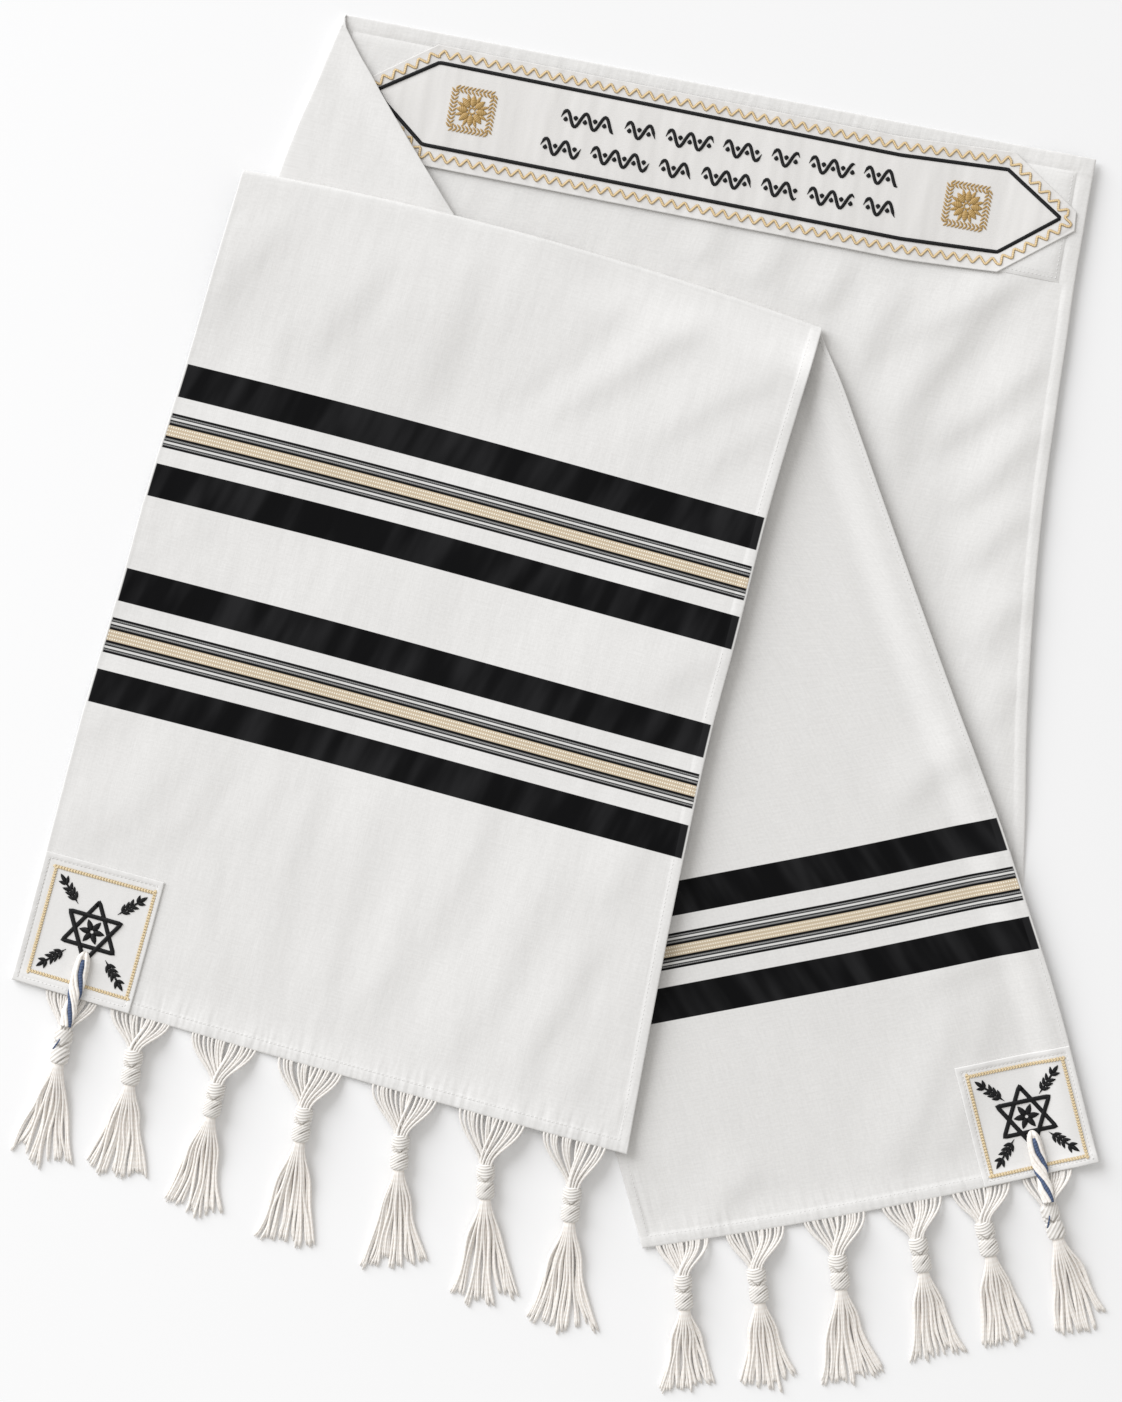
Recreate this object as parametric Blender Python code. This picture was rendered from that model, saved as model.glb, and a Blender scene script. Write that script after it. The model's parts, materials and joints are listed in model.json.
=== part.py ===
"""A tallit prayer shawl laid flat: its two fringed ends are folded forward over the neck stretch.

Sizes are millimetres in the tables and metres in the meshes. X runs to the right, Y towards the
neck edge and Z up. The shawl lies on Z = 0, with the middle of its outline at the origin.

A stretch of cloth is a table of rows. Each row gives the distance down the cloth, the points
where the row meets the two side edges, and how far the row bows towards the neck.
"""

import math

import bmesh
import bpy
import numpy as np

MM = 0.001

CLOTH = 1.2  # wall of the shawl cloth
TRIM = 1.0  # wall of the facing, the neck band and the corner patches
SEAM_GAP = 0.3  # between pieces sewn to each other
LAYER_GAP = 0.5  # between cloth layers that lie on each other
LAYER = CLOTH + LAYER_GAP

HEM_WIDTH = 8.0  # where a turned hem is full height
HEM_FOOT = 11.0  # where it has come down to the cloth
HEM_RISE = 0.8
HEM_FADE = 40.0  # a hem that runs beneath another layer flattens over this distance
HIDDEN_TO = 612.0  # down the second end, where its left hem comes out from beneath the front end
FLAP_CLEAR = 30.0  # from the neck fold to where the neck hem starts, clear of the flap

NECK_FOLD_RADIUS = 2.7  # outer radius where the neck stretch turns over into the flap
NECK_CORNER_RADIUS = 1.35  # the same at the neck corner, where the fold begins
END_FOLD_RADIUS = 3.7  # outer radius where the two ends turn over into each other
FOLD_STEPS = 6

FOLD_TAPER = 60.0  # from the end fold to where the side hems and the plain outline are full
FOLD_EASE = 85.0  # from the end fold to where the front end lies down on the second

COVER_MARGIN = 36.0  # an upper layer keeps its height this far past the edge of the one below
COVER_DRAPE = 90.0  # and comes down over this distance

WAVE_HEIGHT = 1.2  # of the front end's soft wave
WAVE_LENGTH = 150.0
WAVE_HEADING = (0.55, -0.83)
WAVE_FADE = 150.0  # the wave is gone this near the fold and the corner patch
FRONT_LIFT = (2.5, 60.0, 60.0, 640.0)  # height, reach, from and to down the cloth
SECOND_LIFT = (4.0, 45.0, 60.0, 560.0)

FRONT_LENGTH = 665.0
FRONT_ROWS = np.array(
    # down, left x, left y, right x, right y, bow
    [
        (0, -250, 418, 206, 294, 10),
        (157, -296, 266, 162, 145, 2),
        (264, -328, 163, 136, 42, 2),
        (326, -344, 105, 120, -18, 1),
        (432, -374.5, 1.5, 97, -121.5, 1),
        (557, -406, -116, 72.5, -245.5, 0),
        (FRONT_LENGTH, -434, -219.5, 52, -357, -2),
    ]
)

SECOND_LENGTH = 692.0
SECOND_ROWS = np.array(
    # down, left x, left y, right x, right y, bow
    [
        (0, -250, 418, 206, 294, 10),
        (153, -167, 206, 257, 149, 4),
        (324, -67, -51, 315, -12, 0),
        (411, -20.5, -167, 345, -93, 0),
        (478, 1.5, -230, 366, -157, 0),
        (561, 28.5, -308, 391, -236, 0),
        (SECOND_LENGTH, 64, -432, 424.5, -363.5, -4.5),
    ]
)

NECK_LENGTH = 607.0
NECK_ROWS = np.array(
    # down, left x, left y, right x, right y, bow
    [
        (0, -170.5, 542, 422, 427, 0),
        (16, -177.5, 528, 419, 411, 0),
        (57, -193, 490, 412, 370.5, 0),
        (102, -211, 449, 404.5, 326, 0),
        (138, -224, 415, 399.5, 290, 0),
        (190, -239.5, 366, 392, 239.5, 0),
        (287, -268.5, 273, 379, 143, 0),
        (382, -298, 182.5, 371, 48, 0),
        (455, -320, 113, 367.5, -24.5, 0),
        (527, -342, 43.5, 366.5, -97, 0),
        (NECK_LENGTH, -366, -31.5, 364, -177, 0),
    ]
)

FLAP_EDGE = np.array(
    # down the fold, x and y of the flap's free edge on the same row
    [
        (0, -166, 541),
        (22, -162.5, 514),
        (51, -144, 481),
        (94, -114.5, 433),
        (138, -84, 383),
        (166, -65, 351.5),
    ]
)

FACING_TOP = 12.5  # below the neck edge, clear of its hem
FACING_SEAM = 101.0
FACING_SIDE = 12.5
BAND_OUTLINE = (
    # x, y, clockwise from the tip under the flap
    (-157, 489),
    (-96.5, 518),
    (358.5, 433),
    (406, 385),
    (404.5, 370),
    (343.5, 338),
    (-109, 422.5),
    (-155.5, 474),
)

PATCH_INSET = 0.5  # a corner patch stops this far inside the cloth edges
FRONT_PATCH = (97.0, 106.0)  # width and length
SECOND_PATCH = (92.5, 94.5)
EVEN_ROWS = 17
EVEN_COLUMNS = 9

FRONT_TASSELS = (
    # hem from, hem to, knot x, knot y, tip x, tip y, half spread of the tips
    (29, 71, -393.5, -272, -411.5, -362.5, 26.5),
    (82, 131, -338, -288.5, -350, -373.5, 24.5),
    (149, 202, -273.5, -314, -291.5, -402, 24),
    (220, 272, -204, -333.5, -218, -427.5, 26),
    (297, 350, -127, -355.5, -133.5, -446.5, 25.5),
    (368, 422, -59.5, -378.5, -61, -472.5, 28),
    (436.5, 488, 8, -396.5, -1, -495.5, 30),
)
SECOND_TASSELS = (
    (11, 53, 96.5, -465.5, 101, -542.5, 23),
    (67, 113.5, 155, -460, 164.5, -541, 21.5),
    (129, 178, 219, -449.5, 229, -535, 26),
    (192, 240, 283, -436, 297, -516, 23),
    (248.5, 295, 335.5, -423.5, 352.5, -505.5, 21),
    (305, 345, 387.5, -410, 412.5, -495, 22),
)

KNOT_RINGS = (
    # along the tassel from the middle of the double knot, half width, half height
    (-14.5, 4.8, 3.6),
    (-9.0, 7.4, 6.0),
    (-1.0, 5.6, 5.2),
    (6.5, 8.0, 6.4),
    (12.5, 7.2, 5.4),
    (15.5, 6.4, 4.4),
)
KNOT_HEIGHT = 6.7  # of the knot's middle above the floor
CELLS_ACROSS = 6
CELLS_HIGH = 2
STRAND_RINGS = (0.25, 0.6, 1.0)  # share of a skirt strand's length at each section
STRAND_HALF_WIDTH = 1.1
STRAND_HALF_HEIGHT = 0.8
STRAND_REST = (1.15, 3.0)  # height of the lower and the upper strands where they lie
STRAND_LANDS = 0.6  # share of a strand's length at which it has come down to its rest height
STRAND_UNEVEN = 3.5  # how far the strands' ends differ in length
FAN_EASE = 1.1  # the outermost strands' centre lines open this much wider than the half spread
YARN_HALF_WIDTH = 0.9
YARN_HALF_HEIGHT = 0.7
YARN_REST = 1.0
YARN_SAG = 0.8
YARN_GAP = 0.4  # from the hem's edge
BUNDLE_SHARE = 0.36  # of the hem between a tassel's two bundles of yarn that each bundle takes

CORD_RADIUS = 2.4
CORD_ROUTES = {
    # x, y, z of the twisted cord, from the eyelet in the corner patch over the hem to the knot
    "tzitzit_left": ((-376, -202, 5.4), (-380, -218, 5.6), (-383.5, -232, 7.6), (-387.5, -247, 10.6),
                     (-389.6, -256, 12.4)),
    "tzitzit_right": ((372, -343, 5.4), (375.5, -358, 5.6), (378.5, -371, 7.6), (381.5, -385, 10.6),
                      (383.2, -394.5, 12.4)),
}

COLOURS = {
    # red, green, blue, roughness
    "shawl_cloth": (0.80, 0.79, 0.77, 0.85),
    "patch_cloth": (0.78, 0.77, 0.74, 0.75),
    "satin": (0.82, 0.81, 0.78, 0.55),
    "yarn": (0.84, 0.82, 0.77, 0.9),
    "cord": (0.82, 0.82, 0.82, 0.8),
}


def clear_scene():
    for item in list(bpy.data.objects):
        bpy.data.objects.remove(item, do_unlink=True)


def smooth(t):
    """0 below 0, 1 above 1, and an even S between."""
    t = np.clip(t, 0.0, 1.0)
    return t * t * (3 - 2 * t)


def spline(knots, values, at):
    """A cubic through the values at the knots, its slope at each knot taken from the neighbours."""
    slopes = np.gradient(values, knots, axis=0)
    at = np.atleast_1d(np.asarray(at, float))
    low = np.clip(np.searchsorted(knots, at, side="right") - 1, 0, len(knots) - 2)
    span = (knots[low + 1] - knots[low])[:, None]
    t = ((at - knots[low]) / span[:, 0])[:, None]
    start = (1 + 2 * t) * (1 - t) ** 2 * values[low] + t * (1 - t) ** 2 * span * slopes[low]
    return start + t * t * (3 - 2 * t) * values[low + 1] - t * t * (1 - t) * span * slopes[low + 1]


def unit(vectors):
    return vectors / np.linalg.norm(vectors, axis=-1, keepdims=True)


class Stretch:
    """A stretch of cloth in plan, worked out from its table of rows."""

    def __init__(self, rows):
        self.rows = rows

    def sides(self, down):
        values = spline(self.rows[:, 0], self.rows[:, 1:], down)
        return values[:, 0:2], values[:, 2:4], values[:, 4]

    def width(self, down):
        left, right, _ = self.sides(down)
        return np.linalg.norm(right - left, axis=1)

    def plan(self, down, share):
        """Points at each row's shares of the way from the left edge to the right."""
        left, right, bow = self.sides(down)
        across = (right - left)[:, None, :]
        to_neck = unit(np.stack([-across[..., 1], across[..., 0]], axis=-1))
        rise = 4 * bow[:, None, None] * (share * (1 - share))[..., None]
        return left[:, None, :] + across * share[..., None] + to_neck * rise

    def outline(self, steps=24):
        down = np.linspace(self.rows[0, 0], self.rows[-1, 0], steps)
        across = np.linspace(0, 1, steps)[None, :]
        left = self.plan(down, np.zeros((steps, 1)))[:, 0]
        right = self.plan(down, np.ones((steps, 1)))[:, 0]
        top = self.plan(down[:1], across)[0]
        bottom = self.plan(down[-1:], across)[0]
        return np.concatenate([top, right[1:], bottom[::-1][1:], left[::-1][1:-1]])


FRONT = Stretch(FRONT_ROWS)
SECOND = Stretch(SECOND_ROWS)
NECK = Stretch(NECK_ROWS)


def outside(points, outline):
    """Distance of plan points outside a closed outline, and 0 for a point inside it."""
    x, y = points[..., 0, None], points[..., 1, None]
    start, end = outline, np.roll(outline, -1, axis=0)
    run = end - start
    along = ((x - start[:, 0]) * run[:, 0] + (y - start[:, 1]) * run[:, 1]) / (run**2).sum(axis=1)
    along = np.clip(along, 0, 1)
    away = np.hypot(x - start[:, 0] - along * run[:, 0], y - start[:, 1] - along * run[:, 1])
    spans = (start[:, 1] > y) != (end[:, 1] > y)
    rise = np.where(run[:, 1] == 0, 1, run[:, 1])
    crossing = spans & (x < start[:, 0] + (y - start[:, 1]) * run[:, 0] / rise)
    return np.where(crossing.sum(axis=-1) % 2 == 1, 0.0, away.min(axis=-1))


def cover(points, outline):
    """1 over a lower layer and for the margin past its edge, falling smoothly to 0."""
    return 1 - smooth((outside(points, outline) - COVER_MARGIN) / COVER_DRAPE)


def flap_outline():
    down = np.linspace(0, FLAP_EDGE[-1, 0], 12)
    left, _, _ = NECK.sides(down)
    return np.concatenate([spline(FLAP_EDGE[:, 0], FLAP_EDGE[:, 1:], down), left[::-1]])


NECK_OUTLINE = NECK.outline()
SECOND_OUTLINE = SECOND.outline()
FLAP_OUTLINE = flap_outline()
FLAP_TOP = 2 * NECK_FOLD_RADIUS


def edge_lift(stretch, points, height, reach, down_from, down_to):
    """A side edge's soft lift off what it lies on: full at the right edge, gone within reach of it."""
    knots = np.linspace(down_from, down_to, 40)
    _, edge, _ = stretch.sides(knots)
    away = np.linalg.norm(points[..., None, :] - edge, axis=-1)
    nearest = away.argmin(axis=-1)
    share = (knots[nearest] - down_from) / (down_to - down_from)
    return height * smooth(3 * share) * smooth(3 * (1 - share)) * (1 - smooth(away.min(axis=-1) / reach))


def second_base(points):
    """Height of the second end's underside: over the neck stretch and the flap, else the floor."""
    over_neck = LAYER * cover(points, NECK_OUTLINE)
    over_flap = (FLAP_TOP + LAYER_GAP - LAYER) * cover(points, FLAP_OUTLINE)
    return over_neck + over_flap + edge_lift(SECOND, points, *SECOND_LIFT)


def front_base(points, down):
    """Height of the front end's underside: on the second end, full at the fold and softly waved."""
    lying = second_base(points) + LAYER * cover(points, SECOND_OUTLINE)
    full = 2 * (END_FOLD_RADIUS - CLOTH) - LAYER_GAP
    fold = full * (1 - smooth(down / FOLD_EASE))
    wave = 0.5 + 0.5 * np.cos(points @ WAVE_HEADING * math.tau / WAVE_LENGTH)
    free = smooth(down / WAVE_FADE) * smooth((FRONT_LENGTH - FRONT_PATCH[1] - down) / WAVE_FADE)
    return lying + fold + WAVE_HEIGHT * wave * free + edge_lift(FRONT, points, *FRONT_LIFT)


def hem_rise(distance):
    """Extra height of a turned hem at a distance from the cloth's edge."""
    return HEM_RISE * np.clip((HEM_FOOT - distance) / (HEM_FOOT - HEM_WIDTH), 0, 1)


def end_rows(length, patch):
    """Distances down an end for its rows: even ones, then the corner patch's rows and the hem's."""
    even = np.linspace(0, length - patch[1], EVEN_ROWS)
    middle = length - (patch[1] + HEM_FOOT) / 2
    return np.concatenate([even, [middle, length - HEM_FOOT, length - HEM_WIDTH, length]])


def end_columns(width, down, length, patch, patch_right):
    """Distances from the left edge: even between the hems at the fold, on the patch's lines lower down."""
    hem = np.array([0, HEM_WIDTH, HEM_FOOT])
    patch_lines = np.array([(patch[0] + HEM_FOOT) / 2, patch[0]])
    share = np.linspace(0, 1, EVEN_COLUMNS + 2)
    wide = width[:, None]
    even = HEM_FOOT + np.linspace(0, 1, EVEN_COLUMNS + 4)[1:-1] * (wide - 2 * HEM_FOOT)
    lined = patch[0] + share[1:-1] * (wide - patch[0] - HEM_FOOT)
    lined = np.concatenate([np.broadcast_to(patch_lines, (len(width), 2)), lined], axis=1)
    if patch_right:
        lined = wide - lined[:, ::-1]
    inner = even + (lined - even) * smooth(down / (length - patch[1]))[:, None]
    left = np.broadcast_to(hem, (len(width), 3))
    return np.concatenate([left, inner, wide - hem[::-1]], axis=1)


def raised(points, height):
    """Plan points with a height."""
    return np.concatenate([points, np.broadcast_to(height, points.shape[:-1])[..., None]], axis=-1)


def mesh_object(name, points, faces, material):
    """A closed mesh from points in millimetres, its faces turned out."""
    mesh = bpy.data.meshes.new(name)
    mesh.from_pydata((np.asarray(points) * MM).tolist(), [], faces)
    shape = bmesh.new()
    shape.from_mesh(mesh)
    bmesh.ops.recalc_face_normals(shape, faces=shape.faces)
    shape.to_mesh(mesh)
    shape.free()
    mesh.materials.append(material)
    mesh.shade_smooth()
    mesh.set_sharp_from_angle(angle=math.radians(40))
    mesh.update()
    item = bpy.data.objects.new(name, mesh)
    PARTS.objects.link(item)
    return item


def wall(name, outer, inner, faces, material):
    """A wall lofted between two unlike sheets of points, with a rim along their open edges."""
    used = sorted({corner for face in faces for corner in face})
    place = {corner: i for i, corner in enumerate(used)}
    faces = [[place[corner] for corner in face] for face in faces]
    count = len(used)
    sides = {(a, b) for face in faces for a, b in zip(face, face[1:] + face[:1])}
    rim = [(b, a, a + count, b + count) for a, b in sorted(sides) if (b, a) not in sides]
    back = [[corner + count for corner in reversed(face)] for face in faces]
    points = np.concatenate([outer.reshape(-1, 3)[used], inner.reshape(-1, 3)[used]])
    return mesh_object(name, points, faces + back + rim, material)


def grid_faces(rows, columns, keep=None):
    """Quads of a grid of points, wound to face up where rows run away from the neck."""
    return [
        [r * columns + c, (r + 1) * columns + c, (r + 1) * columns + c + 1, r * columns + c + 1]
        for r in range(rows - 1)
        for c in range(columns - 1)
        if keep is None or keep(r, c)
    ]


def end_plan(stretch, length, patch, patch_right):
    """An end's points in plan, with the fold's line moved in from its outline by the fold's radius."""
    down = end_rows(length, patch)
    width = stretch.width(down)
    distance = end_columns(width, down, length, patch, patch_right)
    points = stretch.plan(down, distance / width[:, None])
    across = unit(points[:, -1:] - points[:, :1])
    to_neck = np.stack([-across[..., 1], across[..., 0]], axis=-1)
    inward = END_FOLD_RADIUS * (1 - smooth(down / FOLD_TAPER))[:, None, None]
    return down[:, None], points - to_neck * inward, distance, width[:, None] - distance


def front_sheets():
    """The front end's upper and lower points."""
    down, plan, from_left, from_right = end_plan(FRONT, FRONT_LENGTH, FRONT_PATCH, False)
    side_hems = hem_rise(np.minimum(from_left, from_right)) * smooth(down / FOLD_TAPER)
    rise = np.maximum(side_hems, hem_rise(FRONT_LENGTH - down))
    lower = front_base(plan, down)
    return raised(plan, lower + CLOTH + rise), raised(plan, lower)


def second_sheets():
    """The second end's upper and lower points. Its left hem shows only below the front end."""
    down, plan, from_left, from_right = end_plan(SECOND, SECOND_LENGTH, SECOND_PATCH, True)
    right_hem = hem_rise(from_right) * smooth(down / FOLD_TAPER)
    left_hem = hem_rise(from_left) * smooth((down - HIDDEN_TO) / HEM_FADE)
    rise = np.maximum(np.maximum(right_hem, left_hem), hem_rise(SECOND_LENGTH - down))
    lower = second_base(plan)
    return raised(plan, lower + CLOTH + rise), raised(plan, lower)


def end_panels(front, second, material):
    """Both fringed ends and the soft fold that joins them, as one wall through rows of points."""
    front_upper, front_lower = front
    second_upper, second_lower = second
    line = second_lower[0, :, :2]
    across = unit(line[-1] - line[0])
    to_neck = np.array([-across[1], across[0]])
    turn = np.linspace(math.pi, 0, FOLD_STEPS + 1)[1:-1, None]
    middle = second_lower[0, :, 2] + END_FOLD_RADIUS

    def arc(radius):
        plan = line + (np.sin(turn) * radius)[..., None] * to_neck
        return raised(plan, middle - np.cos(turn) * radius)

    front_upper[0, :, 2] = middle + END_FOLD_RADIUS
    front_lower[0, :, 2] = middle + END_FOLD_RADIUS - CLOTH
    outer = np.concatenate([front_upper[::-1], arc(END_FOLD_RADIUS), second_lower])
    inner = np.concatenate([front_lower[::-1], arc(END_FOLD_RADIUS - CLOTH), second_upper])
    return wall("end_panels", outer, inner, grid_faces(*outer.shape[:2]), material)


def neck_panel(material):
    """The neck stretch, the fold down its left side, and the flap that the fold turns over it."""
    flap_rows = np.concatenate([[0, HEM_WIDTH], np.linspace(HEM_FOOT, FLAP_EDGE[-1, 0], 10)])
    lower_rows = np.linspace(FLAP_EDGE[-1, 0], NECK_LENGTH, 12)[1:]
    down = np.concatenate([flap_rows, lower_rows])
    left, right, _ = NECK.sides(down)
    to_left = unit(left - right)
    radius = NECK_CORNER_RADIUS + (NECK_FOLD_RADIUS - NECK_CORNER_RADIUS) * smooth(down / HEM_FOOT)

    start = left - to_left * radius[:, None]
    width = np.linalg.norm(start - right, axis=1)
    even = np.linspace(0, 1, 10)
    distance = np.concatenate(
        [np.broadcast_to([0, HEM_WIDTH], (len(down), 2)), HEM_FOOT + even * (width[:, None] - HEM_FOOT)],
        axis=1,
    )
    flat = right[:, None] + to_left[:, None] * distance[..., None]
    from_fold = width[:, None] - distance
    side_hem = hem_rise(distance) * smooth((NECK_LENGTH - down) / HEM_FADE)[:, None]
    neck_hem = hem_rise(down)[:, None] * smooth((from_fold - FLAP_CLEAR) / HEM_FADE)
    upper = raised(flat, CLOTH + np.maximum(side_hem, neck_hem))
    lower = raised(flat, 0.0)

    turn = np.linspace(0, math.pi, FOLD_STEPS + 1)[1:-1]

    def arc(size):
        plan = start[:, None] + to_left[:, None] * (np.sin(turn) * size[:, None])[..., None]
        return raised(plan, radius[:, None] - np.cos(turn) * size[:, None])

    free = spline(FLAP_EDGE[:, 0], FLAP_EDGE[:, 1:], np.minimum(down, FLAP_EDGE[-1, 0]))
    share = np.linspace(0, 1, 5)[:, None]
    plan = start[:, None] + (free - start)[:, None] * share
    flap_upper = raised(plan, 2 * radius[:, None])
    flap_lower = raised(plan, 2 * radius[:, None] - CLOTH)

    outer = np.concatenate([lower, arc(radius), flap_upper], axis=1)
    inner = np.concatenate([upper, arc(radius - CLOTH), flap_lower], axis=1)
    flat_columns = flat.shape[1] - 1
    last_flap_row = len(flap_rows) - 1
    faces = grid_faces(*outer.shape[:2], keep=lambda r, c: c < flat_columns or r < last_flap_row)
    return wall("neck_panel", outer, inner, faces, material)


def neck_facing(material):
    """The strip of cloth along the neck edge that carries the band."""
    down = np.linspace(FACING_TOP, FACING_SEAM, 3)
    inset = FACING_SIDE / NECK.width(down)[:, None]
    plan = NECK.plan(down, inset + np.linspace(0, 1, 3) * (1 - 2 * inset))
    base = CLOTH + SEAM_GAP
    return wall("neck_facing", raised(plan, base + TRIM), raised(plan, base), grid_faces(3, 3), material)


def neck_band(material):
    """The embroidered band: a long flat strip with a blunt point at each end."""
    curve = bpy.data.curves.new("neck_band", "CURVE")
    curve.dimensions = "2D"
    curve.fill_mode = "BOTH"
    curve.extrude = TRIM / 2 * MM
    edge = curve.splines.new("POLY")
    edge.points.add(len(BAND_OUTLINE) - 1)
    for point, (x, y) in zip(edge.points, BAND_OUTLINE):
        point.co = (x * MM, y * MM, 0, 1)
    edge.use_cyclic_u = True
    curve.materials.append(material)
    item = bpy.data.objects.new("neck_band", curve)
    item.location.z = (CLOTH + 2 * SEAM_GAP + 1.5 * TRIM) * MM
    PARTS.objects.link(item)
    return item


def corner_patch(name, upper, right_side, material):
    """A square sewn on an end's outer corner, made from the end's own upper points, moved up."""
    points = (upper[-5:, -5:] if right_side else upper[-5:, :5]).copy()
    side, beside = (-1, -2) if right_side else (0, 1)
    inset = PATCH_INSET / HEM_WIDTH
    points[-1] += (points[-2] - points[-1]) * inset
    points[:, side] += (points[:, beside] - points[:, side]) * inset
    if not right_side:
        points = points[::-1]  # the front end's rows run up from its hem
    lift = np.array([0, 0, SEAM_GAP])
    return wall(name, points + lift + [0, 0, TRIM], points + lift, grid_faces(5, 5), material)


def knot_lattice():
    """Points of a cells-across by cells-high grid on a unit disc, and the order of its rim."""
    p = np.linspace(-1, 1, CELLS_ACROSS + 1)[:, None]
    q = np.linspace(-1, 1, CELLS_HIGH + 1)[None, :]
    disc = np.stack([p * np.sqrt(1 - q * q / 2), q * np.sqrt(1 - p * p / 2)], axis=-1)
    low = [(i, 0) for i in range(CELLS_ACROSS + 1)]
    high = [(i, CELLS_HIGH) for i in range(CELLS_ACROSS, -1, -1)]
    right = [(CELLS_ACROSS, j) for j in range(1, CELLS_HIGH)]
    left = [(0, j) for j in range(CELLS_HIGH - 1, 0, -1)]
    return disc, low + right + high + left


def tassel(name, hem_point, row, number, material):
    """A double knot with two bundles of yarn up to the hem and a skirt of strands on the floor."""
    hem_from, hem_to, knot_x, knot_y, tip_x, tip_y, spread = row
    knot = np.array([knot_x, knot_y])
    axis = unit(np.array([tip_x, tip_y]) - knot)
    side = np.array([-axis[1], axis[0]])
    points, faces = [], []

    disc, rim = knot_lattice()

    def place(size, cell):
        along, half_width, half_height = size
        spot = knot + axis * along + side * half_width * disc[cell][0]
        points.append([*spot, KNOT_HEIGHT + half_height * disc[cell][1]])
        return len(points) - 1

    rings = [{cell: place(size, cell) for cell in rim} for size in KNOT_RINGS]
    for near, far in zip(rings, rings[1:]):
        for a, b in zip(rim, rim[1:] + rim[:1]):
            faces.append([near[a], near[b], far[b], far[a]])

    def cap(ring, size):
        """Adds the lattice's inner points to an end ring and gives the corners of each cell."""
        for i in range(1, CELLS_ACROSS):
            for j in range(1, CELLS_HIGH):
                ring[i, j] = place(size, (i, j))
        return {
            (i, j): [ring[i, j], ring[i + 1, j], ring[i + 1, j + 1], ring[i, j + 1]]
            for i in range(CELLS_ACROSS)
            for j in range(CELLS_HIGH)
        }

    def grow(corners, sections):
        """Carries a cell's four corners along a strand. A section is a centre, a side and a half height."""
        for centre, half_side, half_height in sections:
            ring = list(range(len(points), len(points) + 4))
            for across, up in ((-1, -1), (1, -1), (1, 1), (-1, 1)):
                points.append([*(centre[:2] + half_side * across), centre[2] + up * half_height])
            for k in range(4):
                faces.append([corners[k], corners[(k + 1) % 4], ring[(k + 1) % 4], ring[k]])
            corners = ring
        faces.append(corners)

    reach = np.linalg.norm(np.array([tip_x, tip_y]) - knot)
    skirt = reach - KNOT_RINGS[-1][0]
    widest = math.asin(spread / reach)
    for (i, j), corners in cap(rings[-1], KNOT_RINGS[-1]).items():
        root = np.array([points[c] for c in corners]).mean(axis=0)
        share = (2 * i + j + 0.5) / CELLS_ACROSS - 1  # the upper strands lie between the lower ones
        angle = widest * share * FAN_EASE
        length = skirt + STRAND_UNEVEN * math.sin(2.4 * i + 1.9 * j + 1.3 * number)
        heading = axis * math.cos(angle) + side * math.sin(angle)
        across = np.array([-heading[1], heading[0]]) * STRAND_HALF_WIDTH
        sections = []
        for t in STRAND_RINGS:
            spot = root[:2] + heading * length * t
            height = root[2] + (STRAND_REST[j] - root[2]) * smooth(t / STRAND_LANDS)
            sections.append((np.array([*spot, height]), across, STRAND_HALF_HEIGHT))
        grow(corners, sections)

    bundle = (hem_to - hem_from) * BUNDLE_SHARE
    for (i, j), corners in cap(rings[0], KNOT_RINGS[0]).items():
        if j != i % 2:
            faces.append(corners)
            continue
        root = np.array([points[c] for c in corners]).mean(axis=0)
        in_bundle = (i % 3) / 2 * bundle
        along_hem = hem_from + in_bundle if i < 3 else hem_to - bundle + in_bundle
        edge, tangent, outward = hem_point(along_hem)
        end = np.array([*(edge + outward * YARN_GAP), YARN_REST])
        half = (root + end) / 2 - [0, 0, YARN_SAG]
        grow(corners, [
            (half, side * YARN_HALF_WIDTH, YARN_HALF_HEIGHT),
            (end, tangent * YARN_HALF_WIDTH, YARN_HALF_HEIGHT),
        ])
    return mesh_object(name, points, faces, material)


def hem_of(stretch, length):
    """A function from a distance along an end's hem to its point, its direction and the way out."""
    width = stretch.width(np.array([length]))[0]

    def hem_point(distance):
        share = np.array([[distance - 1, distance, distance + 1]]) / width
        before, point, after = stretch.plan(np.array([length]), share)[0]
        tangent = unit(after - before)
        return point, tangent, np.array([tangent[1], -tangent[0]])

    return hem_point


def twisted_cord(name, route, material):
    """The corner's twisted fringe cord, as a round tube along its route."""
    curve = bpy.data.curves.new(name, "CURVE")
    curve.dimensions = "3D"
    curve.bevel_depth = CORD_RADIUS * MM
    curve.bevel_resolution = 1
    curve.use_fill_caps = True
    path = curve.splines.new("POLY")
    path.points.add(len(route) - 1)
    for point, (x, y, z) in zip(path.points, route):
        point.co = (x * MM, y * MM, z * MM, 1)
    curve.materials.append(material)
    item = bpy.data.objects.new(name, curve)
    PARTS.objects.link(item)
    return item


def finish_of(name):
    red, green, blue, roughness = COLOURS[name]
    material = bpy.data.materials.new(name)
    material.use_nodes = True
    shader = material.node_tree.nodes["Principled BSDF"]
    shader.inputs["Base Color"].default_value = (red, green, blue, 1)
    shader.inputs["Roughness"].default_value = roughness
    shader.inputs["Metallic"].default_value = 0.0
    material.diffuse_color = (red, green, blue, 1)
    return material


clear_scene()
PARTS = bpy.data.collections.new("tallit_prayer_shawl")
bpy.context.scene.collection.children.link(PARTS)

CLOTH_FINISH = finish_of("shawl_cloth")
PATCH_FINISH = finish_of("patch_cloth")
SATIN_FINISH = finish_of("satin")
YARN_FINISH = finish_of("yarn")
CORD_FINISH = finish_of("cord")

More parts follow.
